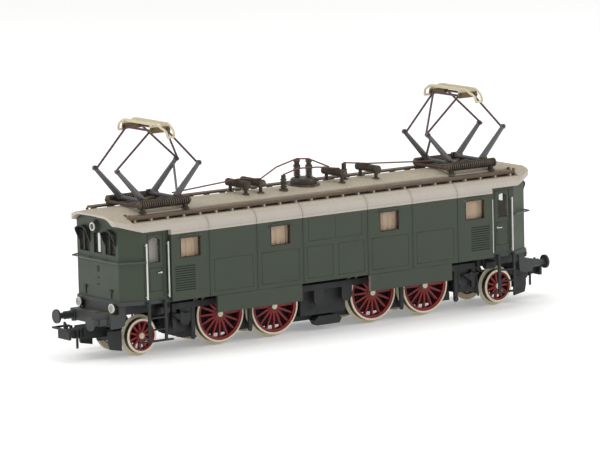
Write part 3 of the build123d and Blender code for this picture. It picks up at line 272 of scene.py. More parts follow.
def walkway_layers(s, colour):
    """Brown boards on roof-coloured stubs."""
    return s.mix(s.math("LESS_THAN", s.axis("Z"), (BOARD_BOTTOM + RAIL) * MM), colour, ROOF)


def board_end_layers(s, colour):
    """Ochre posts over the board ends, roof-coloured stubs under the boards."""
    high = s.math("GREATER_THAN", s.axis("Z"), (BOARD_TOP + RAIL) * MM)
    return s.mix(high, walkway_layers(s, colour), srgb(118, 90, 58))


def rail_layers(s, colour):
    """Bright rails at the doors, painted rail round the cab end."""
    return s.mix(s.math("GREATER_THAN", s.outward("X"), RAIL_BEND_X * MM), colour, DULL_GREEN)


def lamp_layers(s, colour):
    """Bright rims on dark lamp barrels."""
    return s.mix(s.math("GREATER_THAN", s.outward("X"), LAMP_RIM_X * MM), colour, SILVER)


def lens_reflection_layers(s, colour):
    """Painted reflection and shade: the lower lenses keep a bright colour for the light they reflect, the
    top lens is painted dark for the shade seen through it.
    """
    return s.mix(s.math("GREATER_THAN", s.axis("Z"), LENS_SPLIT_Z * MM), colour, srgb(48, 52, 48))


def head_layers(s, colour):
    """Brown brackets under the cream collector bars."""
    low = s.math("LESS_THAN", s.axis("Z"), (HEAD_BAR_Z + RAIL) * MM)
    middle = s.math("LESS_THAN", s.outward("Y"), HEAD_BRACKET_Y * MM)
    return s.mix(s.math("MULTIPLY", low, middle), colour, srgb(104, 84, 56))


def wheel_layers(centre, rim):
    """White ring on the wheel's face, bright flange, and a dark tread painted as shade and reflection on the
    nickel tread.
    """
    def layers(s, colour):
        outer = s.math("GREATER_THAN", s.distance(centre), rim * MM)
        side = s.outward("Y")
        for low, high, band in RING_BANDS:
            mask = s.math("MULTIPLY", outer, s.between(side, low * MM, high * MM))
            colour = s.mix(mask, colour, band)
        return colour
    return layers


m_roof = painted("roof_paint", ROOF, 0.04, 70.0, (0.46, 0.6), 0.25,
                 streak=srgb(172, 162, 148), layers=roof_layers)
m_black = painted("underframe_black", BLACK, 0.1, 120.0, (0.5, 0.65), 0.25, dust=srgb(72, 70, 66))
m_hood = painted("hood_black", srgb(32, 37, 33), 0.08, 120.0, (0.42, 0.55), 0.15)
m_buffer = painted("buffer_grey", srgb(58, 60, 61), 0.1, 120.0, (0.45, 0.6), 0.2, dust=srgb(88, 86, 82))
m_beam = painted("platform_dark", srgb(60, 62, 62), 0.08, 110.0, (0.45, 0.6), 0.2, dust=srgb(160, 150, 126))
m_frame = painted("cast_frame", srgb(44, 45, 47), 0.12, 160.0, (0.5, 0.7), 0.3, metallic=0.2)
m_steel = painted("bright_steel", srgb(190, 188, 182), 0.08, 220.0, (0.25, 0.4), 0.1, metallic=0.9)
m_axle = painted("axle_steel", srgb(204, 196, 172), 0.06, 220.0, (0.3, 0.45), 0.1, metallic=0.4)
m_rails = painted("handrail_wire", SILVER, 0.04, 300.0, (0.25, 0.4), 0.05, metallic=0.2, layers=rail_layers)
m_lamp = painted("lamp_barrel", srgb(34, 38, 35), 0.06, 300.0, (0.3, 0.45), 0.1, layers=lamp_layers)
m_silver = painted("silver_trim", SILVER, 0.06, 300.0, (0.22, 0.36), 0.08, metallic=0.7)
m_brass = painted("turned_brass", srgb(205, 170, 96), 0.1, 260.0, (0.22, 0.4), 0.12, metallic=1.0)
m_copper = painted("armature_copper", srgb(176, 104, 70), 0.15, 400.0, (0.3, 0.5), 0.3, metallic=0.8)
m_lead = painted("ballast_zinc", srgb(128, 130, 132), 0.1, 150.0, (0.45, 0.65), 0.3, metallic=0.7)
m_board = painted("circuit_board", srgb(28, 92, 52), 0.15, 500.0, (0.3, 0.5), 0.2)
m_bronze = painted("spring_bronze", srgb(178, 128, 80), 0.1, 300.0, (0.28, 0.44), 0.1, metallic=1.0)
m_gear = painted("gear_nylon", srgb(214, 206, 184), 0.05, 300.0, (0.4, 0.55), 0.15)
m_plank = painted("walkway_boards", srgb(104, 88, 72), 0.12, 160.0, (0.6, 0.8), 0.4, streak=srgb(80, 66, 54),
                  dust=srgb(140, 126, 104), layers=board_end_layers)
# the lighter edge colour on the insulators is a painted highlight
m_insulator = painted("insulator_brown", srgb(60, 50, 43), 0.2, 900.0, (0.32, 0.5), 0.2,
                      edge=srgb(120, 108, 84), sheen_at=(0.53, 0.62), dust=srgb(100, 88, 66))
m_wire = painted("busbar_red", srgb(104, 60, 54), 0.1, 300.0, (0.35, 0.5), 0.15)
m_arm = painted("arm_grey", srgb(98, 98, 100), 0.1, 200.0, (0.34, 0.5), 0.15, metallic=0.3)
m_tube = painted("arm_tube", srgb(82, 58, 62), 0.08, 300.0, (0.32, 0.48), 0.1, metallic=0.2)
m_head = painted("collector_cream", srgb(206, 195, 166), 0.06, 240.0, (0.38, 0.5), 0.15, layers=head_layers)
m_ochre = painted("ochre_fitting", srgb(92, 74, 48), 0.15, 300.0, (0.4, 0.55), 0.2)
m_glass = glass_like("window_glass", srgb(116, 112, 106), 0.05, 0.13)
# the lens colour is a painted reflection, and the top lens is painted dark as shade
m_lens_reflection = painted("lamp_lens", srgb(150, 147, 138), 0.06, 300.0, (0.06, 0.14), 0.03, layers=lens_reflection_layers)

assign(m_body, "body_shell")
assign(m_glass, "windows")
assign(m_roof, "roof")
assign(m_hood, "window_hoods")
assign(m_buffer, "buffers")
assign(m_black, "keeper_plate", "cab_steps", "underframe_hangers")
assign(m_beam, "end_platforms")
assign(m_lamp, "headlamps")
assign(m_rails, "handrails")
assign(m_lens_reflection, "headlamp_lenses")
assign(m_plank, "roof_walkways")
assign(m_insulator, "roof_insulators", "panto_base_front", "panto_base_rear")
assign(m_wire, "roof_wiring")
assign(m_frame, "chassis_frame")
assign(m_steel, "chassis_screws", "motor")
assign(m_lead, "ballast_weights")
assign(m_board, "circuit_board")
assign(m_bronze, "wheel_pickups")
assign(m_copper, "motor_armature")
assign(m_brass, "flywheels", "worms")
for end in ("front", "rear"):
    assign(m_gear, f"idler_gear_{end}")
    assign(m_black, f"pony_truck_{end}", f"coupler_{end}", f"coupler_loop_{end}")
    assign(m_axle, f"carrying_axle_{end}")
    assign(m_head, f"pan_head_{end}")
    for letter in "ab":
        assign(m_arm, f"panto_lower_{letter}_{end}")
        assign(m_tube, f"panto_upper_{letter}_{end}")
    rings = wheel_layers(axles[f"carrying_{end}"], CARRYING_RIM)
    m_wheel = painted(f"carrying_wheel_{end}", RED, 0.08, 200.0, (0.38, 0.5), 0.12, layers=rings)
    assign(m_wheel, f"carrying_wheels_{end}")
for number in range(1, 5):
    rings = wheel_layers(axles[f"drive_{number}"], DRIVE_RIM)
    m_centre = painted(f"drive_centre_{number}", RED, 0.08, 200.0, (0.38, 0.5), 0.12)
    m_tyre = painted(f"drive_tyre_{number}", NICKEL, 0.05, 200.0, (0.3, 0.42), 0.08, layers=rings)
    assign(m_centre, f"drive_wheels_{number}")
    assign(m_tyre, f"drive_tyres_{number}")
    assign(m_axle, f"drive_axle_{number}")

# ------------------------------------------------------------------ added detail
SUNK = 0.02  # how far a detail is let into the surface that it lies on


def circle(centre, side, other, radius, count):
    """Points round a circle that lies in the plane of two unit vectors."""
    turns = [k * math.tau / count for k in range(count)]
    return [centre + side * radius * math.cos(t) + other * radius * math.sin(t) for t in turns]


class Build:
    """Collects simple solids, all in millimetres above the rail head, into one mesh piece."""

    def __init__(self):
        self.bm = bmesh.new()

    def point(self, p):
        """A place in metres from one in millimetres above the rail head."""
        return Vector((p[0] * MM, p[1] * MM, (p[2] + RAIL) * MM))

    def round_edges(self, edges, radius):
        """Bevel edges with two steps."""
        bmesh.ops.bevel(self.bm, geom=edges, offset=radius * MM, segments=2, profile=0.6, affect="EDGES")

    def box(self, x, y, z, bevel=0.0):
        """A block between two values on each axis."""
        made = bmesh.ops.create_cube(self.bm, size=1.0)["verts"]
        centre = self.point(((x[0] + x[1]) / 2, (y[0] + y[1]) / 2, (z[0] + z[1]) / 2))
        size = Vector(((x[1] - x[0]) * MM, (y[1] - y[0]) * MM, (z[1] - z[0]) * MM))
        for v in made:
            v.co = Vector((v.co.x * size.x, v.co.y * size.y, v.co.z * size.z)) + centre
        if bevel:
            self.round_edges(list(dict.fromkeys(e for v in made for e in v.link_edges)), bevel)

    def prism(self, outline, low, high, bevel):
        """Extrude an outline of (y, z) points along X."""
        lower = [self.bm.verts.new(self.point((low, y, z))) for y, z in outline]
        upper = [self.bm.verts.new(self.point((high, y, z))) for y, z in outline]
        n = len(outline)
        faces = [self.bm.faces.new(lower), self.bm.faces.new(list(reversed(upper)))]
        for i in range(n):
            faces.append(self.bm.faces.new((lower[i], upper[i], upper[(i + 1) % n], lower[(i + 1) % n])))
        bmesh.ops.recalc_face_normals(self.bm, faces=faces)
        self.round_edges(list(dict.fromkeys(e for f in faces for e in f.edges)), bevel)

    def sweep(self, rings):
        """Skin a list of rings, each a list of points in metres, and close both ends."""
        loops = [[self.bm.verts.new(p) for p in ring] for ring in rings]
        n = len(loops[0])
        faces = []
        for a, b in zip(loops, loops[1:]):
            for i in range(n):
                faces.append(self.bm.faces.new((a[i], a[(i + 1) % n], b[(i + 1) % n], b[i])))
        faces.append(self.bm.faces.new(list(reversed(loops[0]))))
        faces.append(self.bm.faces.new(loops[-1]))
        bmesh.ops.recalc_face_normals(self.bm, faces=faces)

    def tube(self, points, radius, sides):
        """Round wire along a path of points."""
        path = [self.point(p) for p in points]
        rings = []
        reference = None
        for i, p in enumerate(path):
            ahead = (path[min(i + 1, len(path) - 1)] - path[max(i - 1, 0)]).normalized()
            if reference is None:
                reference = ahead.orthogonal().normalized()
            side = (reference - ahead * reference.dot(ahead)).normalized()
            reference = side
            other = ahead.cross(side)
            rings.append(circle(p, side, other, radius * MM, sides))
        self.sweep(rings)

    def turned(self, start, axis, profile, sides):
        """Turn a profile of (distance along axis, radius) about an axis from start."""
        axis = Vector(axis).normalized()
        side = axis.orthogonal().normalized()
        other = axis.cross(side)
        base = self.point(start)
        rings = []
        for along, radius in profile:
            rings.append(circle(base + axis * along * MM, side, other, radius * MM, sides))
        self.sweep(rings)

    def rivet(self, p, axis, radius, height):
        """A low domed head, sunk a little into the surface at p."""
        dome = [(-SUNK, radius), (height * 0.45, radius * 0.92), (height * 0.85, radius * 0.6),
                (height, radius * 0.15)]
        self.turned(p, axis, dome, sides=8)

    def finish(self, name, body, material, smooth=30.0):
        """Make one piece that rides on a body, smooth but for edges sharper than smooth degrees."""
        mesh = bpy.data.meshes.new(name)
        self.bm.to_mesh(mesh)
        self.bm.free()
        piece = bpy.data.objects.new(name, mesh)
        bpy.context.scene.collection.objects.link(piece)
        mesh.materials.append(material)
        for polygon in mesh.polygons:
            polygon.use_smooth = True
        edge_angle = math.radians(smooth)
        sharp = mesh.attributes.new("sharp_edge", "BOOLEAN", "EDGE")
        faces_of = {}
        for polygon in mesh.polygons:
            for key in polygon.edge_keys:
                faces_of.setdefault(key, []).append(polygon.normal)
        for edge in mesh.edges:
            meeting = faces_of.get(edge.key, [])
            if len(meeting) == 2 and meeting[0].angle(meeting[1], 0.0) > edge_angle:
                sharp.data[edge.index].value = True
        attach(piece, body)


ENDS = ((-1, "front"), (1, "rear"))
SIDES = ((-1, "near"), (1, "far"))
SIDE_Y = 17.32
DOOR_Y = 15.7
FACE_X = 83.1
SEAM_PLACES = [s * x for s in (-1, 1) for x in (13.23, 31.82, 50.83)]
SEAM_Z = (17.3, 39.1)
RIVET_PITCH = 1.12
SMALL_RIVET = (0.14, 0.08)  # radius and height
PANEL_SPANS = ((-49.0, -33.6), (-30.0, -15.0), (15.0, 30.0), (33.6, 49.0), (-11.6, -1.2), (1.2, 11.6))
PANEL_Z = (18.6, 29.2)
UPPER_PANEL_X = 10.9
UPPER_PANEL_Z = (31.0, 38.4)
SKIRT_MIDDLE_X = 31.07
SKIRT_HALF = 17.1
SKIRT_Z = (16.98, 17.16)
LINE_HALF = 0.09
LINE_PROUD = 0.035
WINDOW_SPANS = ((-62.23, -54.15), (-26.32, -18.32), (18.32, 26.32), (54.15, 62.23))
WINDOW_Z = (31.0, 37.75)
TRIM_WIDTH = 0.28
BLIND_STEPS = 40
BLIND_Z = (30.6, 38.2)
BLIND_DEPTH = 1.75  # behind the side wall's skin
BLIND_THICKNESS = 0.2
DOOR_SPAN = (68.0, 74.0)
DOOR_TOP_Z = 39.6
DOOR_PANEL_Z = (20.9, 28.7)
DOOR_PANEL_INSET = 0.6
DOOR_LINE = 0.18
LATCH_X = 68.9
LATCH_Z = 27.0

# dark seam colour, also put on the rivets as painted shadow round each head
m_seam_and_rivet_shade = painted("seam_dark_rivet_shade", srgb(38, 44, 36), 0.08, 200.0, (0.5, 0.7), 0.1)
m_panel = painted("panel_line", srgb(47, 55, 44), 0.06, 200.0, (0.5, 0.65), 0.1)
m_rail_line = painted("belt_rail", srgb(70, 78, 66), 0.06, 200.0, (0.4, 0.55), 0.1)
m_frame_trim = painted("window_trim", srgb(58, 40, 28), 0.12, 200.0, (0.4, 0.55), 0.12)
m_curtain = painted("cab_blind", srgb(222, 194, 162), 0.04, 60.0, (0.6, 0.8), 0.25,
                    streak=srgb(190, 178, 172))
m_door_blind = painted("door_blind", srgb(176, 170, 163), 0.04, 60.0, (0.6, 0.8), 0.15,
                       streak=srgb(158, 146, 142))


def ordered(a, b):
    return (a, b) if a < b else (b, a)


def around(middle, half):
    return (middle - half, middle + half)


def proud(surface, way, thickness):
    """Span of a flat detail on a surface that faces way."""
    return ordered(surface - way * SUNK, surface + way * thickness)


# side walls
def side_panels(side, tag):
    """Seams between the wall sheets with their rivets, and the outlines of the panels."""
    skin = side * SIDE_Y
    strips = Build()
    seams = Build()
    lines = Build()
    for x in SEAM_PLACES:
        seams.box(around(x, 0.11), proud(skin, side, 0.04), SEAM_Z)
        for k in range(19):
            for offset in (0.55, -0.55):
                strips.rivet((x + offset, skin, 17.9 + k * RIVET_PITCH), (0, side, 0), *SMALL_RIVET)
    on_skin = proud(skin, side, LINE_PROUD)
    low, high = PANEL_Z
    for x0, x1 in PANEL_SPANS:
        lines.box((x0, x1), on_skin, around(high, LINE_HALF))
        lines.box(around(x0, LINE_HALF), on_skin, PANEL_Z)
        lines.box(around(x1, LINE_HALF), on_skin, PANEL_Z)
        lines.box((x0, x1), on_skin, around(low, LINE_HALF))
    bottom = UPPER_PANEL_Z[0]
    lines.box(around(0, UPPER_PANEL_X), on_skin, (bottom, bottom + 2 * LINE_HALF))
    for x in (-UPPER_PANEL_X, 0.0, UPPER_PANEL_X):
        lines.box(around(x, LINE_HALF), on_skin, UPPER_PANEL_Z)
    for s in (-1, 1):
        lines.box(around(s * SKIRT_MIDDLE_X, SKIRT_HALF), proud(skin, side, 0.05), SKIRT_Z)
    lines.finish(f"side_panel_lines_{tag}", "chassis", m_panel)
    seams.finish(f"side_seams_{tag}", "chassis", m_seam_and_rivet_shade)
    # the rivets take the dark seam colour: painted shadow
    strips.finish(f"side_rivets_{tag}", "chassis", m_seam_and_rivet_shade)


def drip_strip(x0, x1, skin, side):
    """Path of the arched strip that sheds water over a window."""
    middle = (x0 + x1) / 2
    reach = (x1 - x0) / 2 + 0.75
    arch = []
    for k in range(17):
        u = -1 + k / 8
        arch.append((middle + u * reach, skin + side * 0.16, 37.5 + 1.05 * (1 - abs(u) ** 3.2)))
    return arch


def blind_fold(x):
    """How far a blind's folds push it inwards at x."""
    return 0.16 * math.sin(x * 2.6) + 0.10 * math.sin(x * 5.3 + 1.0)


def blind_ring(build, x0, x1, skin, side, z):
    """Outline of a folded blind at one height, a little wider than its window."""
    overlap = 0.2
    width = x1 - x0 + 2 * overlap
    across = [x0 - overlap + width * k / (BLIND_STEPS - 1) for k in range(BLIND_STEPS)]
    ring = []
    for depth, run in ((BLIND_DEPTH, across), (BLIND_DEPTH + BLIND_THICKNESS, reversed(across))):
        for x in run:
            ring.append(build.point((x, skin - side * (depth + blind_fold(x)), z)))
    return ring


def side_windows(side, tag):
    """Frames, drip strips and blinds of the windows in one side wall."""
    skin = side * SIDE_Y
    trim = Build()
    drips = Build()
    blinds = Build()
    low, high = WINDOW_Z
    w = TRIM_WIDTH
    y = ordered(skin - side * 1.25, skin + side * 0.07)
    for x0, x1 in WINDOW_SPANS:
        trim.box((x0 - SUNK, x0 + w), y, WINDOW_Z, 0.05)
        trim.box((x1 - w, x1 + SUNK), y, WINDOW_Z, 0.05)
        trim.box((x0 + w, x1 - w), y, (low, low + w), 0.05)
        trim.box((x0 + w, x1 - w), y, (high - w, high), 0.05)
        drips.tube(drip_strip(x0, x1, skin, side), 0.19, 8)
        blinds.sweep([blind_ring(blinds, x0, x1, skin, side, z) for z in BLIND_Z])
    trim.finish(f"side_window_frames_{tag}", "chassis", m_frame_trim)
    drips.finish(f"drip_strips_{tag}", "chassis", m_body)
    blinds.finish(f"window_blinds_{tag}", "chassis", m_curtain, smooth=60)


def side_doors(side, tag):
    """Outlines, panels and handles of the two doors on one side."""
    door = side * DOOR_Y
    doors = Build()
    y = proud(door, side, 0.06)
    for s in (-1, 1):
        for x in DOOR_SPAN:
            doors.box(around(s * x, 0.12), y, (19.0, DOOR_TOP_Z))
        low, high = ordered(s * DOOR_SPAN[0], s * DOOR_SPAN[1])
        doors.box((low, high), y, around(DOOR_TOP_Z, 0.1))
        left = low + DOOR_PANEL_INSET
        right = high - DOOR_PANEL_INSET
        for z in (DOOR_PANEL_Z[0], DOOR_PANEL_Z[1] - 0.1):
            doors.box((left, right), y, (z, z + DOOR_LINE))
        doors.box((left, left + DOOR_LINE), y, DOOR_PANEL_Z)
        doors.box((right - DOOR_LINE, right), y, DOOR_PANEL_Z)
    doors.finish(f"door_outlines_{tag}", "chassis", m_panel)
    latches = Build()
    for s in (-1, 1):
        x = s * LATCH_X
        spindle = [(0, 0.32), (0.14, 0.32), (0.2, 0.2), (0.55, 0.2)]
        latches.turned((x, door, LATCH_Z), (0, side, 0), spindle, 12)
        lever_y = ordered(door + side * 0.45, door + side * 0.68)
        latches.box(ordered(x, x + s * 1.6), lever_y, around(LATCH_Z, 0.14), 0.05)
    latches.finish(f"door_handles_{tag}", "chassis", m_silver)


for side, tag in SIDES:
    side_panels(side, tag)
    side_windows(side, tag)
    side_doors(side, tag)

# roof: cross seams, and the riveted lower edge
ROOF_BEND_Y = 12.55  # the roof's rounded edge turns about this line
ROOF_BEND_Z = 39.65
ROOF_BEND_R = 4.9
EDGE_RIVETS = 118
EDGE_RIVET_X = -64.9
EDGE_RIVET_PITCH = 1.1094
m_roof_line = painted("roof_seam", srgb(112, 104, 96), 0.1, 200.0, (0.5, 0.7), 0.15)
# roof rivets darker than the roof: painted shadow round each head
m_roof_rivet_shade = painted("roof_rivet", srgb(142, 134, 125), 0.08, 200.0, (0.5, 0.65), 0.1)


def roof_skin(turn_deg, lift, side):
    """Place (y, z) on the roof's rounded edge, lift above its skin."""
    turn = math.radians(turn_deg)
    reach = ROOF_BEND_R + lift
    return (side * (ROOF_BEND_Y + reach * math.cos(turn)), ROOF_BEND_Z + reach * math.sin(turn))


def roof_edge_rivets(side, tag):
    edge = Build()
    y, z = roof_skin(5, 0.0, side)
    for k in range(EDGE_RIVETS):
        x = EDGE_RIVET_X + k * EDGE_RIVET_PITCH
        edge.rivet((x, y, z - 0.05), (0, side, 0.08), 0.17, 0.09)
    edge.finish(f"roof_edge_rivets_{tag}", "chassis", m_roof_rivet_shade)


def roof_cross_seams(side, tag):
    """Cover strips over the joints of the roof sheets, from just under the edge up to the crown."""
    joints = Build()
    for x in SEAM_PLACES:
        rings = []
        for turn_deg in (-4, 8, 20, 32, 44, 55, 64):
            drop = 0.4 if turn_deg < 0 else 0.0
            ring = []
            for dx, lift in ((-0.1, -0.04), (-0.1, 0.03), (0.1, 0.03), (0.1, -0.04)):
                y, z = roof_skin(max(turn_deg, 0), lift, side)
                ring.append(joints.point((x + dx, y, z - drop)))
            rings.append(ring)
        joints.sweep(rings)
    joints.finish(f"roof_cross_seams_{tag}", "chassis", m_roof_line)


def roof_seam_rivets(side, tag):
    rows = Build()
    for x in SEAM_PLACES:
        for turn_deg in range(4, 58, 9):
            y, z = roof_skin(turn_deg, 0.0, side)
            turn = math.radians(turn_deg)
            for dx in (-0.6, 0.6):
                rows.rivet((x + dx, y, z), (0, side * math.cos(turn), math.sin(turn)), *SMALL_RIVET)
    rows.finish(f"roof_seam_rivets_{tag}", "chassis", m_roof_rivet_shade)


for side, tag in SIDES:
    roof_edge_rivets(side, tag)
    roof_cross_seams(side, tag)
    roof_seam_rivets(side, tag)

# cab faces
BELT_Y = 12.1
BELT_Z = (30.35, 30.7)
FACE_RIVET_LOW_Z = 19.6
FACE_WINDOWS = ((-2.2, 2.2, 33.0, 40.0), (-10.6, -4.6, 33.0, 41.0), (4.6, 10.6, 33.0, 41.0))
FACE_TRIM_WIDTH = 0.26
SOCKET_Y = 7.6


def face_rivets(face, way):
    """Rows along the top and bottom of the face's lower sheet, and columns at its edges and joint."""
    plates = Build()
    for k in range(21):
        for z in (29.9, 18.75):
            plates.rivet((face, -11.4 + k * 1.14, z), (way, 0, 0), *SMALL_RIVET)
    for count, reach, size in ((10, 11.7, SMALL_RIVET), (9, 1.1, (0.12, 0.07))):
        for k in range(count):
            for y in (-reach, reach):
                plates.rivet((face, y, FACE_RIVET_LOW_Z + k * RIVET_PITCH), (way, 0, 0), *size)
    return plates


def face_fittings(face, way):
    """Hatch, plugs and cable sockets."""
    dark = Build()
    dark.box(proud(face, way, 0.16), around(0, 0.5), (26.9, 29.0), 0.08)
    for z in (25.0, 22.9):
        dark.turned((face, 0, z), (way, 0, 0), [(0, 0.35), (0.12, 0.35), (0.2, 0.2), (0.24, 0.05)], 12)
    hood = ((-0.75, 20.9), (0.75, 20.9), (0.75, 21.7), (0.3, 21.9), (-0.3, 21.9), (-0.75, 21.7))
    for y in (-SOCKET_Y, SOCKET_Y):
        dark.prism([(y + dy, z) for dy, z in hood], *proud(face, way, 0.45), 0.06)
        dark.box(proud(face, way, 0.3), around(y, 0.22), (18.9, 21.0), 0.05)
    return dark


def face_window_frames(face, way):
    frames = Build()
    w = FACE_TRIM_WIDTH
    x = ordered(face - way * 1.3, face + way * 0.08)
    for y0, y1, low, high in FACE_WINDOWS:
        frames.box(x, (y0 - SUNK, y0 + w), (low, high - 0.9), 0.04)
        frames.box(x, (y1 - w, y1 + SUNK), (low, high - 0.9), 0.04)
        frames.box(x, (y0 + w, y1 - w), (low, low + w), 0.04)
        if y1 - y0 > 5:
            frames.box(x, around((y0 + y1) / 2, 0.12), (low, high - 0.4), 0.03)
    return frames


for way, tag in ENDS:
    face = way * FACE_X
    belt = Build()
    belt.box(proud(face, way, 0.10), around(0, BELT_Y), BELT_Z, 0.04)
    belt.finish(f"face_belt_{tag}", "chassis", m_rail_line)
    # the face rivets take the dark seam colour: painted shadow
    face_rivets(face, way).finish(f"face_rivets_{tag}", "chassis", m_seam_and_rivet_shade)
    face_fittings(face, way).finish(f"face_fittings_{tag}", "chassis", m_black)
    # the front window frames take the dark hood paint, not the brown of the side frames: painted shade for
    # the dark cab behind them
    face_window_frames(face, way).finish(f"face_window_frames_{tag}", "chassis", m_hood)

# blinds, lamp fairings and platform rivets of the cab ends
FACE_BLIND_X = (81.15, 81.4)
FACE_BLIND_SPANS = ((6.6, 3.9), (-8.4, -10.9))  # y at the rear end, mirrored at the front
TOP_LAMP_Z = 42.0
FAIRING = [(0, 2.3), (0.35, 1.95), (0.9, 1.6), (1.5, 1.36), (1.52, 1.1)]
LAMP_BRACKET = ((9.0, 17.0), (10.7, 17.0), (10.4, 14.2), (9.3, 14.2))


def door_blinds(way):
    """Blind with its hem behind one door's window."""
    blinds = Build()
    x = ordered(way * 69.0, way * 73.6)
    y = ordered(way * (DOOR_Y - 1.75), way * (DOOR_Y - 1.5))
    blinds.box(x, y, (30.2, 38.7), 0.06)
    blinds.box(x, y, (29.9, 30.3), 0.06)
    return blinds


def face_blinds(way):
    """Half-drawn blinds with their hems behind the outer front windows."""
    shades = Build()
    x = ordered(way * FACE_BLIND_X[0], way * FACE_BLIND_X[1])
    for y0, y1 in FACE_BLIND_SPANS:
        y = ordered(way * y0, way * y1)
        shades.box(x, y, (32.6, 39.6), 0.06)
        shades.box((x[0] - 0.1, x[1] + 0.1), y, (32.2, 32.8), 0.06)
    return shades


def lamp_fairings(way):
    """Flared foot of the top lamp and the brackets under the lower ones."""
    fairing = Build()
    fairing.turned((way * 83.05, 0, TOP_LAMP_Z), (way, 0, 0), FAIRING, 28)
    for side in (-1, 1):
        outline = [(side * y, z) for y, z in LAMP_BRACKET]
        fairing.prism(outline, *ordered(way * 82.9, way * 83.5), 0.05)
    return fairing


def platform_rivets(way):
    beam = Build()
    for k in range(9):
        for y in (-11.4 + k * 1.05, 11.4 - k * 1.05):
            beam.rivet((way * 83.55, y, 17.5), (way, 0, 0), 0.16, 0.1)
    return beam


for way, tag in ENDS:
    door_blinds(way).finish(f"door_blinds_{tag}", "chassis", m_door_blind)
    face_blinds(way).finish(f"face_blinds_{tag}", "chassis", m_door_blind)
    lamp_fairings(way).finish(f"lamp_fairings_{tag}", "chassis", m_hood)
    platform_rivets(way).finish(f"platform_rivets_{tag}", "chassis", m_beam)

# dark underframe over the carrying wheels: beams, reservoirs, pipes, stays and leaf springs
UNDERFRAME_BEAMS = (  # x span, reach either side, z span
    ((62.0, 80.8), 6.0, (13.3, 16.85)),
    ((63.0, 82.4), 11.7, (13.6, 16.85)),
    ((55.2, 62.0), 9.4, (9.6, 16.4)),
)
RESERVOIR = [(0, 0.3), (0.15, 1.2), (0.5, 1.45), (3.9, 1.45), (4.25, 1.2), (4.4, 0.3)]
RESERVOIR_X = 66.9
RESERVOIR_Y = 13.2
RESERVOIR_Z = 14.2
STAY = ((62.6, 10.4, 13.6), (63.6, 10.5, 8.4), (64.2, 10.4, 3.4))
FEED_PIPE = ((64.6, RESERVOIR_Y, 16.7), (64.6, RESERVOIR_Y, 14.6), (66.0, RESERVOIR_Y, RESERVOIR_Z))
SPRING_X = 59.4
LEAVES = 5
LEAF_PITCH = 0.42


def underframe_gear(way):
    mass = Build()
    for (low, high), reach, z in UNDERFRAME_BEAMS:
        mass.box(ordered(way * low, way * high), (-reach, reach), z, 0.25)
    for side in (-1, 1):
        mass.box(ordered(way * 55.4, way * 63.6), ordered(side * 4.6, side * 9.6), (5.2, 12.4), 0.4)
        tank = (way * RESERVOIR_X - 2.2, side * RESERVOIR_Y, RESERVOIR_Z)
        mass.turned(tank, (1, 0, 0), RESERVOIR, 20)
        for path, radius in ((FEED_PIPE, 0.3), (STAY, 0.34)):
            mass.tube([(way * x, side * y, z) for x, y, z in path], radius, 8)
        for k in range(LEAVES):
            leaf = (11.6 - k * LEAF_PITCH, 11.98 - k * LEAF_PITCH)
            mass.box(around(way * SPRING_X, 3.4 - k * 0.55), ordered(side * 11.7, side * 12.9), leaf, 0.05)
        mass.box(ordered(way * 58.8, way * 60.0), ordered(side * 11.6, side * 13.0), (9.5, 12.4), 0.08)
    return mass


for way, tag in ENDS:
    underframe_gear(way).finish(f"underframe_gear_{tag}", "chassis", m_black)

# raised boards on low bearers over the far walkway
RAISED_SPANS = ((-78.5, -39.3), (-39.1, -0.1), (0.1, 39.1), (39.3, 78.5))
RAISED_ROWS = ((9.8, 11.2), (11.3, 12.8))
BEARERS = 25
BEARER_PITCH = 6.4
m_raised = painted("raised_boards", srgb(98, 82, 68), 0.12, 160.0, (0.6, 0.8), 0.4,
                   streak=srgb(76, 62, 50), dust=srgb(136, 122, 100))
raised = Build()
for x in RAISED_SPANS:
    for y in RAISED_ROWS:
        raised.box(x, y, (46.3, 46.95), 0.08)
for k in range(BEARERS):
    x = (k - BEARERS // 2) * BEARER_PITCH
    raised.box(around(x, 0.35), (10.0, 12.6), (45.5, 46.35), 0.06)
raised.finish("far_raised_boards", "chassis", m_raised)

# pantographs: springs and stays between the long insulators, insulator caps, nuts under the heads
PANTO_X = 62.9
SPRING_Y = 3.4
SPRING_HALF = 4.6
ROD_END_X = 9.2
COIL_STEPS = 10
CAP = [(-0.4, 1.2), (0.0, 1.25), (0.3, 0.9), (0.35, 0.5), (0.75, 0.45), (0.8, 0.1)]
NUT = [(-0.05, 0.75), (0.15, 0.75), (0.22, 0.5), (0.45, 0.45), (0.5, 0.1)]
NUT_X = 3.0
NUT_Y = 8.75
NUT_Z = 72.3


def coil(build, start, end, radius, wire, turns):
    """A helical spring from start to end, which lie on one line along X."""
    start = Vector(start)
    along = Vector(end) - start
    steps = turns * COIL_STEPS
    points = []
    for k in range(steps + 1):
        angle = k * math.tau / COIL_STEPS
        offset = Vector((0, math.cos(angle), math.sin(angle))) * radius
        points.append(tuple(start + along * (k / steps) + offset))
    build.tube(points, wire, 6)


def panto_springs(centre):
    gear = Build()
    for y in (-SPRING_Y, SPRING_Y):
        ends = [(centre - SPRING_HALF, y, 48.4), (centre + SPRING_HALF, y, 48.4)]
        coil(gear, *ends, 0.5, 0.16, 15)
        gear.tube([(centre - ROD_END_X, y, 48.2), ends[0]], 0.22, 8)
        gear.tube([ends[1], (centre + ROD_END_X, y, 48.2)], 0.22, 8)
    for y in (-1.3, 1.3):
        stay = [(centre - ROD_END_X, y, 48.1), (centre, y * 0.8, 47.9), (centre + ROD_END_X, y, 48.1)]
        gear.tube(stay, 0.3, 8)
    return gear


def insulator_caps(centre):
    caps = Build()
    for way in (-1, 1):
        for y in (-9.3, 9.3):
            caps.turned((centre + way * 9.9, y, 48.6), (way, 0, 0), CAP, 18)
    return caps


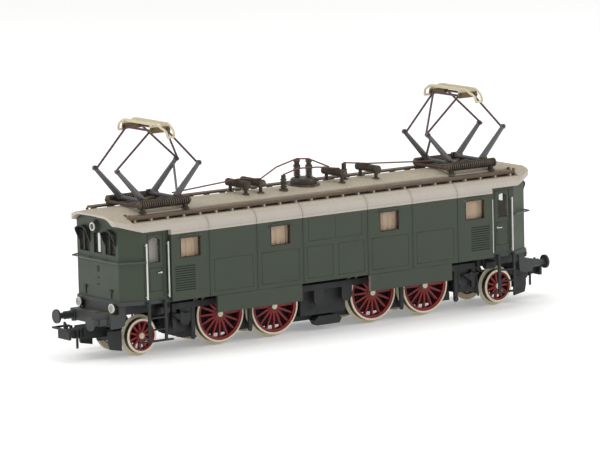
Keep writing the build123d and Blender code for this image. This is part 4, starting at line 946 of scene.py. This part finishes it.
def head_nuts(x):
    shoes = Build()
    for way in (-1, 1):
        shoes.turned((x, way * NUT_Y, NUT_Z), (0, way, 0), NUT, 16)
    return shoes


for way, tag in ENDS:
    centre = way * PANTO_X
    panto_springs(centre).finish(f"panto_springs_{tag}", "chassis", m_insulator)
    insulator_caps(centre).finish(f"panto_insulator_caps_{tag}", "chassis", m_ochre)
    for letter, along in (("a", NUT_X), ("b", -NUT_X)):
        head_nuts(centre - way * along).finish(f"panto_head_nuts_{letter}_{tag}", f"head_{tag}", m_ochre)


# ------------------------------------------------------------------ stage, light and camera
def pale_floor(span):
    mesh = bpy.data.meshes.new("floor")
    corners = [(-span, -span, 0), (span, -span, 0), (span, span, 0), (-span, span, 0)]
    mesh.from_pydata(corners, [], [(0, 1, 2, 3)])
    floor = bpy.data.objects.new("floor", mesh)
    bpy.context.scene.collection.objects.link(floor)
    shade = Shader("pale_floor")
    tone = shade.ramp(shade.noise(2.0), [(0.3, srgb(244, 244, 243)), (0.7, srgb(248, 248, 247))])
    shade.links.new(tone, shade.bsdf.inputs["Base Color"])
    shade.bsdf.inputs["Roughness"].default_value = 0.85
    shade.bsdf.inputs["Emission Color"].default_value = (1.0, 1.0, 1.0, 1.0)
    shade.bsdf.inputs["Emission Strength"].default_value = 0.25
    mesh.materials.append(shade.material)


def white_world(strength):
    world = bpy.data.worlds.new("studio")
    bpy.context.scene.world = world
    world.use_nodes = True
    background = world.node_tree.nodes["Background"]
    background.inputs["Color"].default_value = (1.0, 1.0, 1.0, 1.0)
    background.inputs["Strength"].default_value = strength


def area_light(name, place, target, size, power):
    light = bpy.data.lights.new(name, "AREA")
    light.shape = "DISK"
    light.size = size
    light.energy = power
    lamp = bpy.data.objects.new(name, light)
    bpy.context.scene.collection.objects.link(lamp)
    lamp.location = place
    lamp.rotation_euler = (Vector(target) - Vector(place)).to_track_quat("-Z", "Y").to_euler()


def aimed_camera(place, target, roll, lens):
    """A camera at place that looks at target, turned by roll about its view."""
    forward = (target - place).normalized()
    right = forward.cross(Vector((0, 0, 1))).normalized()
    up = right.cross(forward)
    right_rolled = right * math.cos(roll) + up * math.sin(roll)
    up_rolled = up * math.cos(roll) - right * math.sin(roll)
    data = bpy.data.cameras.new("camera")
    data.lens = lens
    data.sensor_width = 36.0
    data.clip_end = 20.0
    camera = bpy.data.objects.new("camera", data)
    bpy.context.scene.collection.objects.link(camera)
    turn = Matrix((right_rolled, up_rolled, -forward)).transposed().to_4x4()
    camera.matrix_world = Matrix.Translation(place) @ turn
    bpy.context.scene.camera = camera


LIGHT_TARGET = (0, 0, 0.03)
CAMERA_AT = Vector((-0.9994, -1.4181, 0.2945 + RAIL * MM))
CAMERA_TO = Vector((-0.00219, 0.0, 0.03373 + RAIL * MM))
pale_floor(6.0)
white_world(0.55)
area_light("key", (-1.3, 0.15, 0.6), LIGHT_TARGET, 0.7, 6.4)
area_light("fill", (0.85, -0.9, 0.75), LIGHT_TARGET, 0.9, 5.6)
area_light("top", (0.1, 0.3, 1.2), LIGHT_TARGET, 1.0, 5.0)
aimed_camera(CAMERA_AT, CAMERA_TO, math.radians(-1.36), 314.0)
bpy.context.scene.view_settings.view_transform = "Standard"
